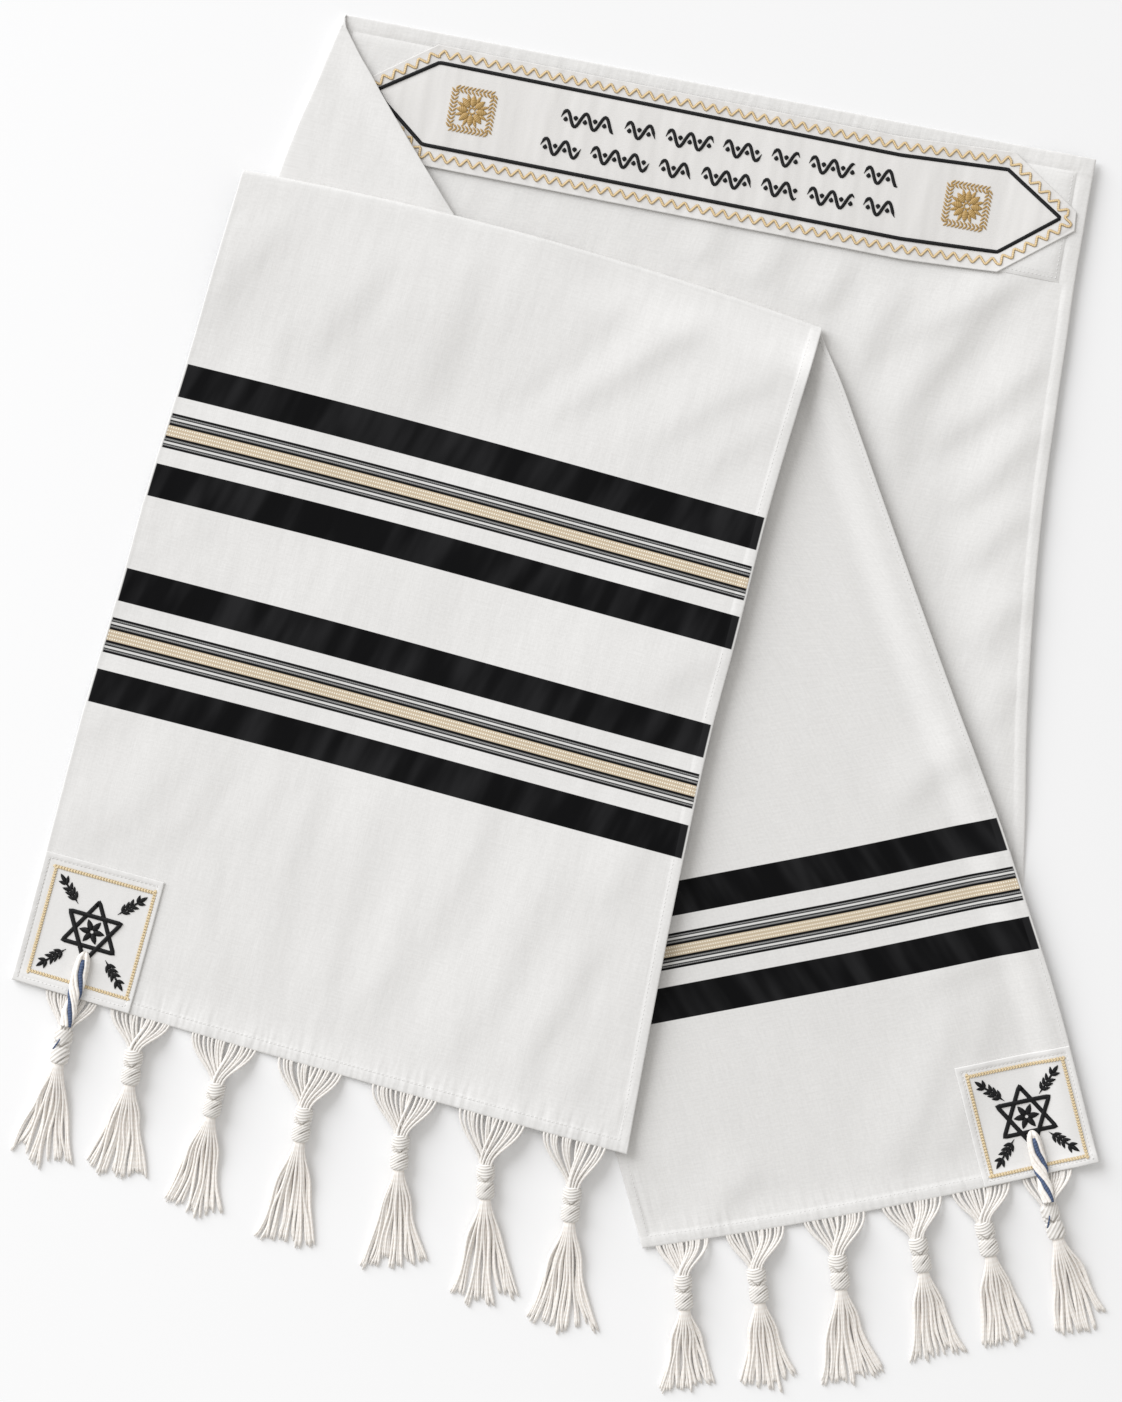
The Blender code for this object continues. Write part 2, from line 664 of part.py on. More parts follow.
FRONT_SHEETS = front_sheets()
SECOND_SHEETS = second_sheets()
end_panels(FRONT_SHEETS, SECOND_SHEETS, CLOTH_FINISH)
neck_panel(CLOTH_FINISH)
neck_facing(CLOTH_FINISH)
neck_band(SATIN_FINISH)
corner_patch("corner_patch_left", FRONT_SHEETS[0], False, PATCH_FINISH)
corner_patch("corner_patch_right", SECOND_SHEETS[0], True, PATCH_FINISH)

for number, tassel_row in enumerate(FRONT_TASSELS, 1):
    tassel(f"front_tassel_{number}", hem_of(FRONT, FRONT_LENGTH), tassel_row, number, YARN_FINISH)
for number, tassel_row in enumerate(SECOND_TASSELS, 1):
    tassel(f"second_tassel_{number}", hem_of(SECOND, SECOND_LENGTH), tassel_row, number + 7, YARN_FINISH)
for cord_name, cord_route in CORD_ROUTES.items():
    twisted_cord(cord_name, cord_route, CORD_FINISH)
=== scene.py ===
"""Looks of a tallit prayer shawl laid flat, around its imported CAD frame.

Sizes are millimetres in the tables and functions and metres in the meshes. X runs to the right, Y
towards the neck edge and Z up. A place on an end of the shawl is a distance down from the end fold
and a distance across from the left edge.
"""

import json
import math

import bpy
import numpy as np
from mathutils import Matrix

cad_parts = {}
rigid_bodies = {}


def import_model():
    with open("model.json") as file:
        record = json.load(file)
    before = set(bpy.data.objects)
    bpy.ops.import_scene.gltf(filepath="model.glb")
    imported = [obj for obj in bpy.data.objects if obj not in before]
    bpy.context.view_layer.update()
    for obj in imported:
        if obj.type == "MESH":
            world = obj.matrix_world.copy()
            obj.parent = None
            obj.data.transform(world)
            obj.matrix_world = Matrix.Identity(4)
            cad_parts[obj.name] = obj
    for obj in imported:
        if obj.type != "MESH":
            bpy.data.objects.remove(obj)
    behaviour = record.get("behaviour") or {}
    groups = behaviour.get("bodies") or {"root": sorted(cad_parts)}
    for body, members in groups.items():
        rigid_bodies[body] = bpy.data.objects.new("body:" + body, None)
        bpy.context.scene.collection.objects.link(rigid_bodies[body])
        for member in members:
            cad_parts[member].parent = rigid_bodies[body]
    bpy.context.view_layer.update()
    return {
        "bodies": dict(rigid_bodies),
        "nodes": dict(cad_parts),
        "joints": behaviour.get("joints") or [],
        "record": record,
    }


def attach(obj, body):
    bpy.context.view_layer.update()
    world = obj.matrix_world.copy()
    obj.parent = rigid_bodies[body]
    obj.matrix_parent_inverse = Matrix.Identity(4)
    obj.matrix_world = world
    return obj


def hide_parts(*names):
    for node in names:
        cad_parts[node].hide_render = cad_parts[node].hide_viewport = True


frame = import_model()

MM = 0.001
TAU = math.tau
UP = np.array([0.0, 0.0, 1.0])

# ---------------------------------------------------------------- sizes shared with the CAD source

CLOTH = 1.2  # wall of the shawl cloth
TRIM = 1.0  # wall of the facing, the neck band and the corner patches
SEAM_GAP = 0.3
LAYER_GAP = 0.5
LAYER = CLOTH + LAYER_GAP

HEM_FADE = 40.0
HIDDEN_TO = 612.0

NECK_FOLD_RADIUS = 2.7
NECK_CORNER_RADIUS = 1.35
END_FOLD_RADIUS = 3.7
FOLD_TAPER = 60.0

COVER_MARGIN = 36.0
COVER_DRAPE = 90.0
WAVE_HEIGHT = 1.2
WAVE_LENGTH = 150.0
WAVE_HEADING = (0.55, -0.83)
WAVE_FADE = 150.0

FRONT_LENGTH = 665.0
# down, left x, left y, right x, right y, bow
FRONT_ROWS = np.array([
    (0, -250, 418, 206, 294, 10),
    (157, -296, 266, 162, 145, 2),
    (264, -328, 163, 136, 42, 2),
    (326, -344, 105, 120, -18, 1),
    (432, -374.5, 1.5, 97, -121.5, 1),
    (557, -406, -116, 72.5, -245.5, 0),
    (FRONT_LENGTH, -434, -219.5, 52, -357, -2),
])
SECOND_LENGTH = 692.0
SECOND_ROWS = np.array([
    (0, -250, 418, 206, 294, 10),
    (153, -167, 206, 257, 149, 4),
    (324, -67, -51, 315, -12, 0),
    (411, -20.5, -167, 345, -93, 0),
    (478, 1.5, -230, 366, -157, 0),
    (561, 28.5, -308, 391, -236, 0),
    (SECOND_LENGTH, 64, -432, 424.5, -363.5, -4.5),
])
NECK_LENGTH = 607.0
NECK_ROWS = np.array([
    (0, -170.5, 542, 422, 427, 0),
    (16, -177.5, 528, 419, 411, 0),
    (57, -193, 490, 412, 370.5, 0),
    (102, -211, 449, 404.5, 326, 0),
    (138, -224, 415, 399.5, 290, 0),
    (190, -239.5, 366, 392, 239.5, 0),
    (287, -268.5, 273, 379, 143, 0),
    (382, -298, 182.5, 371, 48, 0),
    (455, -320, 113, 367.5, -24.5, 0),
    (527, -342, 43.5, 366.5, -97, 0),
    (NECK_LENGTH, -366, -31.5, 364, -177, 0),
])
# down the fold, x and y of the flap's free edge on the same row
FLAP_EDGE = np.array([
    (0, -170, 542),
    (10.5, -169.3, 531.7),
    (20, -164.3, 521.1),
    (32, -157.5, 507.5),
    (43.5, -150, 494.7),
    (54.4, -143.9, 483.3),
    (63, -137.9, 472.7),
    (94, -114.5, 433),
    (138, -84, 383),
    (166, -65, 351.5),
])
FACING_TOP = 12.5
FACING_SEAM = 101.0
FACING_SIDE = 12.5

PATCH_INSET = 0.5
FRONT_PATCH = (97.0, 106.0)  # width and length
SECOND_PATCH = (92.5, 94.5)

FRONT_TASSELS = (
    # hem from, hem to, knot x, knot y, tip x, tip y, half spread of the tips
    (29, 71, -393.5, -272, -411.5, -362.5, 26.5),
    (82, 131, -338, -288.5, -350, -373.5, 24.5),
    (149, 202, -273.5, -314, -291.5, -402, 24),
    (220, 272, -204, -333.5, -218, -427.5, 26),
    (297, 350, -127, -355.5, -133.5, -446.5, 25.5),
    (368, 422, -59.5, -378.5, -61, -472.5, 28),
    (436.5, 488, 8, -396.5, -1, -495.5, 30),
)
SECOND_TASSELS = (
    (11, 53, 96.5, -465.5, 101, -542.5, 23),
    (67, 113.5, 155, -460, 164.5, -541, 21.5),
    (129, 178, 219, -449.5, 229, -535, 26),
    (192, 240, 283, -436, 297, -516, 23),
    (248.5, 295, 335.5, -423.5, 352.5, -505.5, 21),
    (305, 345, 387.5, -410, 412.5, -495, 22),
)
KNOT_HEIGHT = 6.7
CORD_ROUTES = {
    # x, y, z from the eyelet in the corner patch over the hem to the knot
    "tzitzit_left": (
        (-376, -202, 5.4), (-380, -218, 5.6), (-383.5, -232, 7.6), (-387.5, -247, 10.6),
        (-389.6, -256, 12.4),
    ),
    "tzitzit_right": (
        (372, -343, 5.4), (375.5, -358, 5.6), (378.5, -371, 7.6), (381.5, -385, 10.6),
        (383.2, -394.5, 12.4),
    ),
}

# ---------------------------------------------------------------- sizes of the finish alone

FOLD_EASE = 190.0  # over which the front end comes down from the fold
# of a raised side edge: its height, level to, gone by, and down the edge full by, end and fall
FRONT_LIFT = (7.6, 6.0, 300.0, 45.0, 800.0, 250.0)
SECOND_LIFT = (6.4, 12.0, 36.0, 45.0, 900.0, 400.0)
HEM_LIFT = (1.5, 24.0)  # of a lower hem, and its reach
NECK_LIFT = (4.5, 8.0, 75.0, 1.0, 640.0, 300.0)
FLAP_LIFT = (2.6, 34.0)  # of the flap's free edge, and its reach

# width and rise of each hem
FRONT_LEFT_HEM = (2.0, 0.25)
FRONT_RIGHT_HEM = (7.6, 0.5)
BOTTOM_HEM = (8.8, 0.7)
SECOND_LEFT_HEM = (7.0, 0.5)
SECOND_RIGHT_HEM = (4.0, 0.25)
NECK_HEM = (11.4, 0.7)
NECK_SIDE_HEM = (7.8, 0.8)
NECK_CORNER_HEM = 11.4  # width of the neck's side hem beside the facing
RIM = 1.7  # of plain white outside the ends of the stripes

HEM_STEPS = np.array([0, 0.12, 0.45, 1.0, 2.2, 4.0, 5.8, 7.0, 7.8, 8.6, 9.4, 10.4, 12.0])
EDGE_STEPS = np.array([0, 0.12, 0.4, 1.0, 2.4])
PATCH_STEPS = np.array([0, 0.12, 0.4, 1.0, 2.4, 3.6, 4.2, 4.7, 5.4, 6.4])
STEP = 5.2  # between points of the cloth away from its hems
FOLD_ARC = 10.0  # length of cloth in the end fold
NECK_RUN = 1000.0  # added to the distance down the neck stretch, to tell its weave from the ends'
FACING_MARK = 1000.0  # added to the facing's distance from its edge, for its own stitch holes

STITCH = 3.4  # from one hem stitch to the next
ROLLED_HEM = 3.0  # a narrower hem is rolled and shows no stitches
FACING_STITCH = 3.2
FACING_ROWS = (3.2, 6.4)  # its stitch rows, from its edge
PATCH_SEAM = 4.6  # the patches' stitch row, from their edge
BAND_ACROSS = 85.0  # about the band's width, for the spacing of its rows
STRIPE_MIDDLES = (210.5, 379.3, -466.0)  # along the cloth, of each set of stripes
STRIPES_REACH = 56.0  # from that middle to clear of the set
# from that middle to the start and the end of each stripe
SATIN_STRIPE = (27.2, 53.8)
GREY_STRIPES = ((6.2, 7.5), (11.1, 12.1))
BETWEEN_GREYS = ((7.5, 8.6), (10.3, 11.1))
WHITE_STRIPE = (8.6, 10.3)
GROUP_END = (13.7, 14.1)  # over which the group of narrow stripes fades out
BRAID_END = (4.05, 4.45)

# from x, from y, to x, to y, height, width of the steep side
FRONT_CREASES = np.array([
    (-273, 309, -218, 372, 1.1, 14),
    (-194, 269, -127, 352, 1.2, 15),
    (-103, 234, -62, 364, 1.2, 15),
    (-48, 234, 62, 313, 1.3, 15),
    (-1, 228, 122, 293, 2.0, 13),
    (74, 206, 177, 250, 1.3, 12),
    (110, 173, 177, 214, 1.0, 12),
    (74, 1, 134, 36, 1.0, 13),
    (-376, -35, -325, 9, 1.0, 15),
    (-368, -114, -293, -47, 1.1, 16),
    (-325, -118, -258, -58, 1.0, 15),
    (-273, -220, -273, -134, 0.8, 15),
    (-236, -228, -182, -55, 1.1, 16),
    (-182, -236, -135, -58, 1.0, 15),
    (-127, -232, -44, -78, 1.2, 16),
    (-64, -268, 3, -118, 1.2, 15),
    (-13, -264, 31, -197, 1.7, 13),
    (39, -157, 78, -110, 1.1, 13),
    (-111, 364, -143, 293, 0.8, 13),
    (-208, 130, -186, 190, 0.6, 17),
    (-322, 62, -262, 96, 0.6, 12),
    (-150, -250, -118, -150, 0.8, 11),
    (-95, -300, -70, -215, 0.8, 10),
    (-190, -270, -172, -200, 0.7, 11),
    (-40, -335, -12, -262, 0.9, 11),
    (2, -345, 22, -285, 0.8, 9),
    (52, -262, 74, -196, 0.7, 12),
    (-245, -110, -205, -40, 0.7, 14),
    (40, 60, 100, 96, 0.6, 13),
    (-230, 236, -205, 300, 0.7, 14),
])
SECOND_CREASES = np.array([
    (272, -86, 331, -35, 1.6, 13),
    (295, -228, 355, -197, 1.6, 13),
    (268, -378, 315, -244, 1.6, 14),
    (307, -363, 347, -236, 1.6, 14),
    (110, -418, 157, -378, 1.4, 12),
])
NECK_CREASES = np.array([
    (244, 265, 272, 325, 1.6, 12),
    (268, 214, 347, 325, 2.2, 13),
    (272, 281, 386, 344, 1.6, 12),
    (303, 202, 382, 261, 2.0, 12),
    (315, 155, 382, 206, 2.0, 12),
    (323, 107, 372, 143, 1.6, 12),
    (335, 40, 367, 80, 1.6, 12),
    (205, 290, 228, 345, 1.3, 10),
    (160, 320, 178, 366, 1.0, 10),
    (115, 345, 128, 380, 0.9, 9),
    (250, 170, 300, 232, 1.0, 13),
    (340, -20, 364, 12, 1.0, 10),
])

# x, y along the band's upper and lower edge from its left point to its right point
BAND_TOP = np.array([(-157, 489), (-96.5, 518), (268, 445.5), (358.5, 433), (406, 385)])
BAND_BOTTOM = np.array([(-155.5, 474), (-109, 422.5), (268, 348.5), (343.5, 338), (404.5, 370)])
# x, y round the black piping inside the band's edge
PIPING = np.array([
    (-144.5, 482.5), (-95.6, 503.6), (267.8, 430.7), (352.8, 419.2), (393.4, 380.2),
    (344, 354), (267.8, 364.7), (-109.8, 439.2), (-139, 472.4),
])
PIPING_RADIUS = 1.5
WAVE_PERIOD = 10.3  # of the gold couched thread
WAVE_REACH = 2.8
WAVE_THREAD = 1.0


# ---------------------------------------------------------------- plan of the cloth


def smooth(t):
    """0 below 0, 1 above 1, and an even S between: 3 t squared less 2 t cubed."""
    t = np.clip(t, 0.0, 1.0)
    return t * t * (3 - 2 * t)


def bell(value, middle, width):
    """A bell curve: e to the minus ((value - middle) / width) squared."""
    return np.exp(-(((value - middle) / width) ** 2))


def spline(knots, values, at):
    """A cubic through the values at the knots, its slope at each knot taken from the neighbours."""
    slopes = np.gradient(values, knots, axis=0)
    low = np.clip(np.searchsorted(knots, at, side="right") - 1, 0, len(knots) - 2)
    span = (knots[low + 1] - knots[low])[:, None]
    t = ((at - knots[low]) / span[:, 0])[:, None]
    start = (1 + 2 * t) * (1 - t) ** 2 * values[low] + t * (1 - t) ** 2 * span * slopes[low]
    return start + t * t * (3 - 2 * t) * values[low + 1] - t * t * (1 - t) * span * slopes[low + 1]


def unit(headings):
    """The same headings at length 1."""
    return headings / np.maximum(np.linalg.norm(headings, axis=-1, keepdims=True), 1e-9)


def vectors(*parts):
    """One vector at each place from its numbers, given one by one."""
    return np.stack(np.broadcast_arrays(*parts), axis=-1)


def square_to(headings):
    """Each plan heading turned a quarter to the left."""
    return vectors(-headings[..., 1], headings[..., 0])


def around(angle):
    """Plan headings at angles from the right."""
    return vectors(np.cos(angle), np.sin(angle))


def turned(headings, angle):
    """Plan headings turned to the left by an angle."""
    return headings * math.cos(angle) + square_to(headings) * math.sin(angle)


def rectangle(left, right, low, high):
    """Its corners, turning to the left."""
    return np.array([(left, low), (right, low), (right, high), (left, high)])


def raised(plan, height):
    """Plan points with a height."""
    return np.concatenate([plan, np.broadcast_to(height, plan.shape[:-1])[..., None]], axis=-1)


def way_on(path):
    """The heading along a path at each of its points."""
    return unit(np.gradient(path, axis=-2))


def gone_along(path):
    """The distance along a path at each of its points."""
    gone = np.linalg.norm(np.diff(path, axis=-2), axis=-1).cumsum(axis=-1)
    return np.concatenate([np.zeros((*gone.shape[:-1], 1)), gone], axis=-1)


def on_line(corners, gone, at):
    """Points on straight lines between corners, where the corners lie at the distances gone."""
    return vectors(*(np.interp(at, gone, side) for side in corners.T))


class Stretch:
    """A stretch of cloth in plan, worked out from its table of rows."""

    def __init__(self, rows):
        self.rows = rows

    def sides(self, down):
        """The left point, the right point and the bow of the rows at these distances down."""
        down = np.asarray(down, float)
        values = spline(self.rows[:, 0], self.rows[:, 1:], down.ravel()).reshape(*down.shape, 5)
        return values[..., 0:2], values[..., 2:4], values[..., 4:]

    def width(self, down):
        """How wide the cloth is at these distances down."""
        left, right, _ = self.sides(down)
        return np.linalg.norm(right - left, axis=-1)

    def spot(self, down, share):
        """Left point plus the share of the row's width, bowed towards the neck by 4 b s (1 - s)."""
        left, right, bow = self.sides(down)
        share = np.asarray(share, float)[..., None]
        across = right - left
        return left + across * share + square_to(unit(across)) * 4 * bow * share * (1 - share)

    def outline(self, steps=24):
        """Points round the stretch: along the top, down the right, back along the bottom and up."""
        down = np.linspace(self.rows[0, 0], self.rows[-1, 0], steps)
        share = np.linspace(0, 1, steps)
        right, left = np.ones(steps), np.zeros(steps)
        sides = [(down[0] * right, share), (down, right), (down[-1] * right, share[::-1]),
                 (down[::-1], left)]
        return np.concatenate([self.spot(*side)[:-1] for side in sides])


FRONT = Stretch(FRONT_ROWS)
SECOND = Stretch(SECOND_ROWS)
NECK = Stretch(NECK_ROWS)


def border_distance(points, outline):
    """Distance of each plan point from the nearest side of a closed outline."""
    start = outline
    run = np.roll(outline, -1, axis=0) - start
    away = points[..., None, :] - start
    along = np.clip((away * run).sum(-1) / (run**2).sum(-1), 0, 1)
    return np.linalg.norm(away - along[..., None] * run, axis=-1).min(-1)


def outside(points, outline):
    """Distance of plan points outside a closed outline, and 0 for a point inside it."""
    x, y = points[..., 0, None], points[..., 1, None]
    start, end = outline, np.roll(outline, -1, axis=0)
    spans = (start[:, 1] > y) != (end[:, 1] > y)
    rise = np.where(end[:, 1] == start[:, 1], 1, end[:, 1] - start[:, 1])
    crossing = spans & (x < start[:, 0] + (y - start[:, 1]) * (end - start)[:, 0] / rise)
    return np.where(crossing.sum(-1) % 2 == 1, 0.0, border_distance(points, outline))


def cover(points, outline):
    """1 over a lower layer and for the margin past its edge, falling smoothly to 0."""
    return 1 - smooth((outside(points, outline) - COVER_MARGIN) / COVER_DRAPE)


def flap_outline():
    """Points round the turned-over flap: down its free edge and up the fold."""
    down = np.linspace(0, FLAP_EDGE[-1, 0], 12)
    left, _, _ = NECK.sides(down)
    return np.concatenate([spline(FLAP_EDGE[:, 0], FLAP_EDGE[:, 1:], down), left[::-1]])


FRONT_OUTLINE = FRONT.outline()
SECOND_OUTLINE = SECOND.outline()
NECK_OUTLINE = NECK.outline()
FLAP_OUTLINE = flap_outline()
FLAP_TOP = 2 * NECK_FOLD_RADIUS

# ---------------------------------------------------------------- height of the cloth


def edge_lift(stretch, points, height, near, far, full_by, end, fall):
    """A side edge's soft lift: level to `near` from the right edge and gone at `far` from it. The
    distance down the edge and the distance from it are taken along and square to the edge's
    heading at its nearest knot."""
    knots = np.linspace(0, stretch.rows[-1, 0], 60)
    _, edge, _ = stretch.sides(knots)
    heading = way_on(edge)
    nearest = np.linalg.norm(points[..., None, :] - edge, axis=-1).argmin(-1)
    offset = points - edge[nearest]
    forward = (offset * heading[nearest]).sum(-1)
    down = knots[nearest] + forward
    away = np.sqrt(np.maximum((offset**2).sum(-1) - forward**2, 0))
    share = 1 - smooth((away - near) / (far - near))
    return height * smooth((down + 1) / full_by) * smooth((end - down) / fall) * share


def creases(points, table):
    """Sum of soft ridges h exp(-(d / w)^2), with w twice as wide on the side where the ridge is
    gentle. Each line wanders by 3 mm as a sine and its ends fade out."""
    start, run = table[:, 0:2], table[:, 2:4] - table[:, 0:2]
    length = np.linalg.norm(run, axis=1)
    heading = run / length[:, None]
    away = points[..., None, :] - start
    along = (away * heading).sum(-1) / length
    beside = away[..., 0] * heading[:, 1] - away[..., 1] * heading[:, 0]
    beside = beside + 0.6 * table[:, 5] + 3 * np.sin(4.2 * along + np.arange(len(table)))
    width = table[:, 5] * np.where(beside > 0, 1.0, 1.8)
    fade = smooth((along + 0.3) / 0.6) * smooth((1.3 - along) / 0.6)
    return 1.2 * (table[:, 4] * fade * bell(beside, 0, width)).sum(-1)


def neck_lift(points):
    """Height of the neck stretch off the floor where nothing lies on it: its creases and its
    lifted side."""
    free = smooth((outside(points, SECOND_OUTLINE) - 2) / 22)
    free = free * smooth(outside(points, FRONT_OUTLINE) / 22)
    free = free * smooth((outside(points, FLAP_OUTLINE) - 4) / 30)
    return free * (1.25 * creases(points, NECK_CREASES) + edge_lift(NECK, points, *NECK_LIFT))


def second_base(points, _down=None):
    """Height of the second end's underside: over the neck stretch and the flap, else the floor."""
    over_neck = LAYER * cover(points, NECK_OUTLINE)
    over_flap = (FLAP_TOP + LAYER_GAP - LAYER) * cover(points, FLAP_OUTLINE)
    free = smooth((outside(points, FRONT_OUTLINE) - 1) / 18)
    soft = free * creases(points, SECOND_CREASES)
    return over_neck + over_flap + soft + edge_lift(SECOND, points, *SECOND_LIFT)


def front_base(points, down):
    """Height of the front end's underside: it lies on the second end, full at the fold, waved and
    creased."""
    lying = second_base(points) + LAYER * cover(points, SECOND_OUTLINE)
    full = 2 * (END_FOLD_RADIUS - CLOTH) - LAYER_GAP
    fold = full * (1 - smooth(down / FOLD_EASE))
    wave = 0.5 + 0.5 * np.cos(points @ WAVE_HEADING * TAU / WAVE_LENGTH)
    free = smooth(down / WAVE_FADE) * smooth((FRONT_LENGTH - FRONT_PATCH[1] - down) / WAVE_FADE)
    soft = creases(points, FRONT_CREASES) * smooth(down / 40)
    soft = soft * (0.3 + 0.7 * smooth((FRONT_LENGTH - down) / 60))
    return lying + fold + WAVE_HEIGHT * wave * free + soft + edge_lift(FRONT, points, *FRONT_LIFT)


def hem_rise(distance, hem):
    """Extra wall of a turned hem: full, slightly crowned, then a stitched dip and down to the
    cloth."""
    width, rise = hem
    full = 1 - smooth((distance - width) / 1.8)
    crown = 0.25 * np.sin(math.pi * np.clip(distance / width, 0, 1))
    return rise * (full + crown - 0.35 * bell(distance, width, 0.8))


class End:
    """A fringed end: turns a distance down and a distance across into a place on its cloth."""

    def __init__(self, stretch, length, base, left_hem, left_from, right_hem):
        self.stretch, self.length, self.base = stretch, length, base
        self.left_hem, self.left_from, self.right_hem = left_hem, left_from, right_hem

    def plan(self, down, across):
        """The plan point, moved in at the fold by the fold's radius."""
        point = self.stretch.spot(down, across / self.stretch.width(down))
        left, right, _ = self.stretch.sides(down)
        inward = END_FOLD_RADIUS * (1 - smooth(down / FOLD_TAPER))[..., None]
        return point - square_to(unit(right - left)) * inward

    def under(self, plan, down):
        """Height of the underside, with the lower hem a little off what it lies on."""
        height, reach = HEM_LIFT
        return self.base(plan, down) + height * smooth((down - self.length + reach) / reach)

    def wall(self, down, across):
        """The cloth's thickness with its hems."""
        width = self.stretch.width(down)
        right = hem_rise(width - across, self.right_hem)
        left = hem_rise(across, self.left_hem) * smooth((down - self.left_from) / HEM_FADE)
        return CLOTH + np.maximum(np.maximum(left, right), hem_rise(self.length - down, BOTTOM_HEM))

    def edge(self, down, across):
        """Distance from the nearest cut edge."""
        width = self.stretch.width(down)
        return np.minimum(np.minimum(across, width - across), self.length - down)

    def top(self, down, across, lift=0.0):
        """The point of the upper surface, lift above it."""
        plan = self.plan(down, across)
        return raised(plan, self.under(plan, down) + self.wall(down, across) + lift)

    def place(self, local):
        """The point of the upper surface from a distance down and across in one array."""
        return self.top(local[..., 0], local[..., 1])


FRONT_END = End(FRONT, FRONT_LENGTH, front_base, FRONT_LEFT_HEM, 0.0, FRONT_RIGHT_HEM)
SECOND_END = End(
    SECOND, SECOND_LENGTH, second_base, SECOND_LEFT_HEM, HIDDEN_TO, SECOND_RIGHT_HEM
)

# ---------------------------------------------------------------- meshes


def put(name, data):
    """A new object, put into the scene."""
    thing = bpy.data.objects.new(name, data)
    bpy.context.scene.collection.objects.link(thing)
    return thing


def make(name, points, faces, finish, facts=None):
    """A smooth mesh piece from points in millimetres, with named vectors on its points."""
    mesh = bpy.data.meshes.new(name)
    mesh.from_pydata((np.asarray(points) * MM).tolist(), [], faces)
    for key, values in (facts or {}).items():
        layer = mesh.attributes.new(key, "FLOAT_VECTOR", "POINT")
        layer.data.foreach_set("vector", np.asarray(values, float).ravel())
    mesh.materials.append(finish)
    mesh.shade_smooth()
    piece = put(name, mesh)
    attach(piece, "root")
    return piece


def cloth_piece(name, middle, wall, edge, weave, finish, slot, keep=None):
    """A sheet from a grid of its middle surface. Half the wall goes out along the surface's normal
    and half in. At s of half a wall from an edge the wall is sqrt(1 - (1 - s)^2) of itself, so the
    edge is round, and on the border the two sides share one point."""
    normal = unit(np.cross(np.gradient(middle, axis=1), np.gradient(middle, axis=0)))
    count = edge.size
    index = np.arange(count).reshape(edge.shape)
    quads = np.stack([index[:-1, :-1], index[:-1, 1:], index[1:, 1:], index[1:, :-1]], axis=-1)
    quads = quads[np.ones(quads.shape[:2], bool) if keep is None else keep]
    border = np.bincount(quads.ravel(), minlength=count) < 4
    share = np.clip(edge / (wall / 2), 0, 1)
    half = (wall / 2 * np.sqrt(1 - (1 - share) ** 2)).ravel() * ~border
    out = middle.reshape(-1, 3) + normal.reshape(-1, 3) * half[:, None]
    back = middle.reshape(-1, 3) - normal.reshape(-1, 3) * half[:, None]
    behind = np.where(border, np.arange(count), np.arange(count) + count)
    faces = np.concatenate([quads, behind[quads][:, ::-1]])
    used, faces = np.unique(faces, return_inverse=True)
    points = np.concatenate([out, back])[used]
    weave = np.tile(weave.reshape(-1, 3), (2, 1))[used]
    return make(name, points, faces.reshape(-1, 4).tolist(), finish, {"weave": weave})


def tube_faces(many, long, sides):
    """Faces of tubes whose points go round in rings, with both ends closed."""
    index = np.arange(many * long * sides).reshape(many, long, sides)
    beside = np.roll(index, -1, axis=2)
    quads = np.stack([index[:, :-1], index[:, 1:], beside[:, 1:], beside[:, :-1]], axis=-1)
    return quads.reshape(-1, 4).tolist() + index[:, 0].tolist() + index[:, -1, ::-1].tolist()


def strands(paths, wide, high, sides=8):
    """Tubes along paths: round each path point goes an ellipse, so wide across and so high. Gives
    the points, the faces, and for each point its distance along the strand and the cosine and sine
    of its place round it."""
    many, long = paths.shape[:2]
    heading = way_on(paths)
    side = unit(np.cross(heading, UP))
    top = np.cross(side, heading)
    turn = np.arange(sides) * TAU / sides
    wide = np.broadcast_to(wide, (many, long))[..., None, None]
    high = np.broadcast_to(high, (many, long))[..., None, None]
    ring = side[:, :, None] * np.cos(turn)[:, None] * wide
    points = paths[:, :, None] + (ring + top[:, :, None] * np.sin(turn)[:, None] * high)
    gone = gone_along(paths)[..., None]
    twist = vectors(gone, np.cos(turn), np.sin(turn))
    return points.reshape(-1, 3), tube_faces(many, long, sides), twist.reshape(-1, 3)


def joined(parts):
    """Several lots of points, faces and twists as one."""
    offset, points, faces, twists = 0, [], [], []
    for part_points, part_faces, part_twists in parts:
        points.append(part_points)
        twists.append(part_twists)
        faces += [[corner + offset for corner in face] for face in part_faces]
        offset += len(part_points)
    return np.concatenate(points), faces, np.concatenate(twists)


def thread_piece(name, parts, finish):
    """A piece from several lots of strands."""
    points, faces, twists = joined(parts)
    return make(name, points, faces, finish, {"twist": twists})


# ---------------------------------------------------------------- finishes


class Value:
    """A number socket, so that shader maths reads as an expression."""

    def __init__(self, finish, socket):
        self.finish, self.socket = finish, socket

    def __add__(self, other):
        return self.finish.math("ADD", self, other)

    def __sub__(self, other):
        return self.finish.math("SUBTRACT", self, other)

    def __rsub__(self, other):
        return self.finish.math("SUBTRACT", other, self)

    def __mul__(self, other):
        return self.finish.math("MULTIPLY", self, other)

    __radd__ = __add__
    __rmul__ = __mul__

    def __abs__(self):
        return self.finish.math("ABSOLUTE", self)


